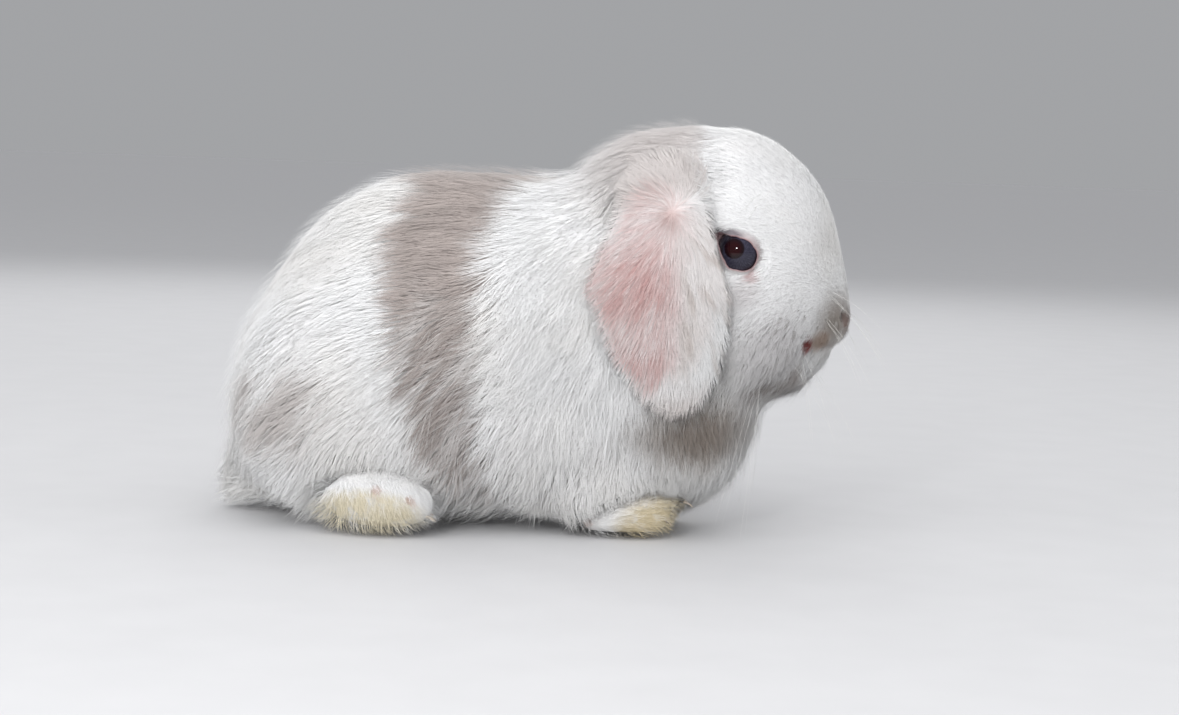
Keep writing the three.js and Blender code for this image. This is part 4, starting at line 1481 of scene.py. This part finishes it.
# Roots of the left whiskers, where they end, how far the ends spread, and how many there are.
WHISKERS = (
    (at("head", 0.95, 0.40, 0.42), (112, 20, 62), (3, 7, 6), 3),
    (at("head", 0.93, 0.46, 0.36), (108, 26, 49), (4, 7, 8), 3),
    (at("head", 0.86, 0.50, 0.16), (97, 20, 30), (7, 8, 6), 4),
    (at("head", 0.70, 0.55, 0.10), (66, 30, 6), (6, 8, 4), 4),
    (EYE + (2.0, 2.0, 10.5), (72, 34, 112), (6, 2, 3), 2),
)


class RABBIT_OT_whiskers(bpy.types.Operator):
    """Make the long whiskers of the lips and the few above each eye"""

    bl_idname = "rabbit.whiskers"
    bl_label = "Whiskers"

    def execute(self, context):
        material = whisker_material()
        random = np.random.default_rng(WHISKER_SEED)
        for word, side in SIDES:
            shapes = []
            for start, tip, spread, hairs in WHISKERS:
                for _ in range(hairs):
                    near = start + random.normal(0, WHISKER_SCATTER, 3)
                    far = tip + random.uniform(-1, 1, 3) * spread
                    root = RABBIT_GROUND[0].nearest(mirrored(near, side))
                    shapes.append(self.whisker(root, mirrored(far, side), side))
            piece = link_piece("whiskers_" + word, mesh_of("whiskers", *gathered(shapes)))
            finished(piece, material, "whisker")
        return {"FINISHED"}

    @staticmethod
    def whisker(root, tip, side):
        """A thin hair from its root to its tip, bowed up and outwards."""
        steps = np.linspace(0, 1, 14)[:, None]
        bow = np.array((0.02, 0.10 * side, 0.10)) * np.linalg.norm(tip - root)
        route = root + (tip - root) * steps + bow * 4 * steps * (1 - steps) * 0.6
        route[:, 2] = np.maximum(route[:, 2], WHISKER_LOWEST)
        radii = WHISKER_TAPER * (1 - steps[:, 0]) + WHISKER_TIP
        return tube(route, radii, 4)


# ---------------------------------------------------------------- stage


# Name, place, size, power in watts, and whether the eyes reflect it.
LAMPS = (
    ("key", (0.1, -0.75, 1.1), (1.5, 1.5), 7.6, False),
    ("side", (-0.6, -0.9, 0.6), (1.3, 1.0), 5.9, False),
    ("low", (0.0, -1.2, 0.3), (1.3, 0.5), 3.6, False),
    ("front", (1.1, 0.0, 0.5), (1.2, 0.9), 2.5, False),
    ("back", (-0.2, 0.9, 0.9), (1.2, 1.2), 5.5, False),
    ("spark", (-0.077, -0.772, 0.357), (0.075, 0.075), 1.2, True),
)
FLOOR_REACH = 30.0  # half the floor's length, in metres
LENS, SENSOR = 70, 36  # focal length and width of the picture in the camera, in millimetres
AIM_AHEAD, AIM_UP = 0.01865, 0.054  # the camera's target, from the animal's middle and its lowest place


class RABBIT_OT_stage(bpy.types.Operator):
    """Make the floor, the lamps and the camera"""

    bl_idname = "rabbit.stage"
    bl_label = "Stage"

    def execute(self, context):
        self.floor()
        self.world(context)
        self.lamps(context)
        self.camera(context)
        return {"FINISHED"}

    def floor(self):
        mesh = bpy.data.meshes.new("floor")
        ends = [(x * FLOOR_REACH, y * FLOOR_REACH, 0) for x, y in ((-1, -1), (1, -1), (1, 1), (-1, 1))]
        mesh.from_pydata(ends, [], [(0, 1, 2, 3)])
        floor = link_piece("floor", mesh)
        s = Shader("floor_paint")
        grain = s.noise(s.place(), 0.04, 2)
        pale = s.mix((0.56, 0.56, 0.57), (0.60, 0.60, 0.61), grain)
        colour = s.mix((0.27, 0.27, 0.27), pale, s.background())
        floor.data.materials.append(s.surfaced({"Base Color": colour, "Roughness": 0.6}))

    def world(self, context):
        """Light from all round, and the darker colour that the background shows."""
        s = Shader("studio", world=True)
        lit, seen = (0.65, 0.655, 0.67), (0.364, 0.369, 0.381)
        colour = s.mix(lit, seen, s.background())
        background = s.node("ShaderNodeBackground", {"Color": colour, "Strength": 1.0})
        s.node("ShaderNodeOutputWorld", {"Surface": background})
        context.scene.world = s.material

    def lamps(self, context):
        strength = context.scene.rabbit_stage.light
        middle = Vector((CAD_BOX[0] + CAD_BOX[1]) / 2)
        for name, place, size, power, shine in LAMPS:
            lamp = bpy.data.lights.new(name, "AREA")
            lamp.shape = "RECTANGLE"
            lamp.size, lamp.size_y = size
            lamp.energy = power * strength
            holder = link_piece(name, lamp)
            holder.visible_glossy = shine
            holder.location = place
            holder.rotation_euler = (Vector(place) - middle).to_track_quat("Z", "Y").to_euler()

    def camera(self, context):
        stage = context.scene.rabbit_stage
        low, high = (np.array(corner) for corner in CAD_BOX)
        middle = (low + high) / 2
        target = Vector((middle[0] + AIM_AHEAD, 0, low[2] + AIM_UP))
        back = Vector(
            (
                math.sin(stage.azimuth) * math.cos(stage.elevation),
                -math.cos(stage.azimuth) * math.cos(stage.elevation),
                math.sin(stage.elevation),
            )
        )
        lens = bpy.data.cameras.new("camera")
        lens.lens = LENS
        lens.sensor_width = SENSOR
        lens.clip_start, lens.clip_end = 0.01, 20
        camera = link_piece("camera", lens)
        camera.location = target + back * stage.distance
        turned = (-back).to_track_quat("-Z", "Y").to_matrix().to_4x4()
        camera.rotation_euler = (turned @ Matrix.Rotation(stage.roll, 4, "Z")).to_euler()
        context.scene.camera = camera
        context.scene.view_settings.view_transform = "Standard"


# ---------------------------------------------------------------- add-on

SETTINGS = {
    "rabbit_skin": SkinSettings,
    "rabbit_coat": CoatSettings,
    "rabbit_eyes": EyeSettings,
    "rabbit_stage": StageSettings,
}
OPERATORS = (
    RABBIT_OT_skin,
    RABBIT_OT_ground,
    *[coat_operator(row) for row in COAT],
    RABBIT_OT_eyes,
    RABBIT_OT_claws,
    RABBIT_OT_whiskers,
    RABBIT_OT_stage,
)


class RABBIT_PT_panel(bpy.types.Panel):
    """Settings and steps of the rabbit"""

    bl_label = "Lop Rabbit"
    bl_idname = "RABBIT_PT_panel"
    bl_space_type = "VIEW_3D"
    bl_region_type = "UI"
    bl_category = "Rabbit"

    def draw(self, context):
        for group, kind in SETTINGS.items():
            box = self.layout.box()
            for key in kind.__annotations__:
                box.prop(getattr(context.scene, group), key)
        for operator in OPERATORS:
            self.layout.operator(operator.bl_idname)


def register():
    """Makes the settings, the operators and the panel known."""
    for kind in (*SETTINGS.values(), *OPERATORS, RABBIT_PT_panel):
        bpy.utils.register_class(kind)
    for group, kind in SETTINGS.items():
        setattr(bpy.types.Scene, group, PointerProperty(type=kind))


def unregister():
    for group in SETTINGS:
        delattr(bpy.types.Scene, group)
    for kind in (RABBIT_PT_panel, *reversed(OPERATORS), *SETTINGS.values()):
        bpy.utils.unregister_class(kind)


def main():
    """Builds the rabbit and its stage, and writes the sizes of frame and visual."""
    register()
    for operator in OPERATORS:
        family, name = operator.bl_idname.split(".")
        getattr(getattr(bpy.ops, family), name)()


if __name__ == "__main__":
    main()
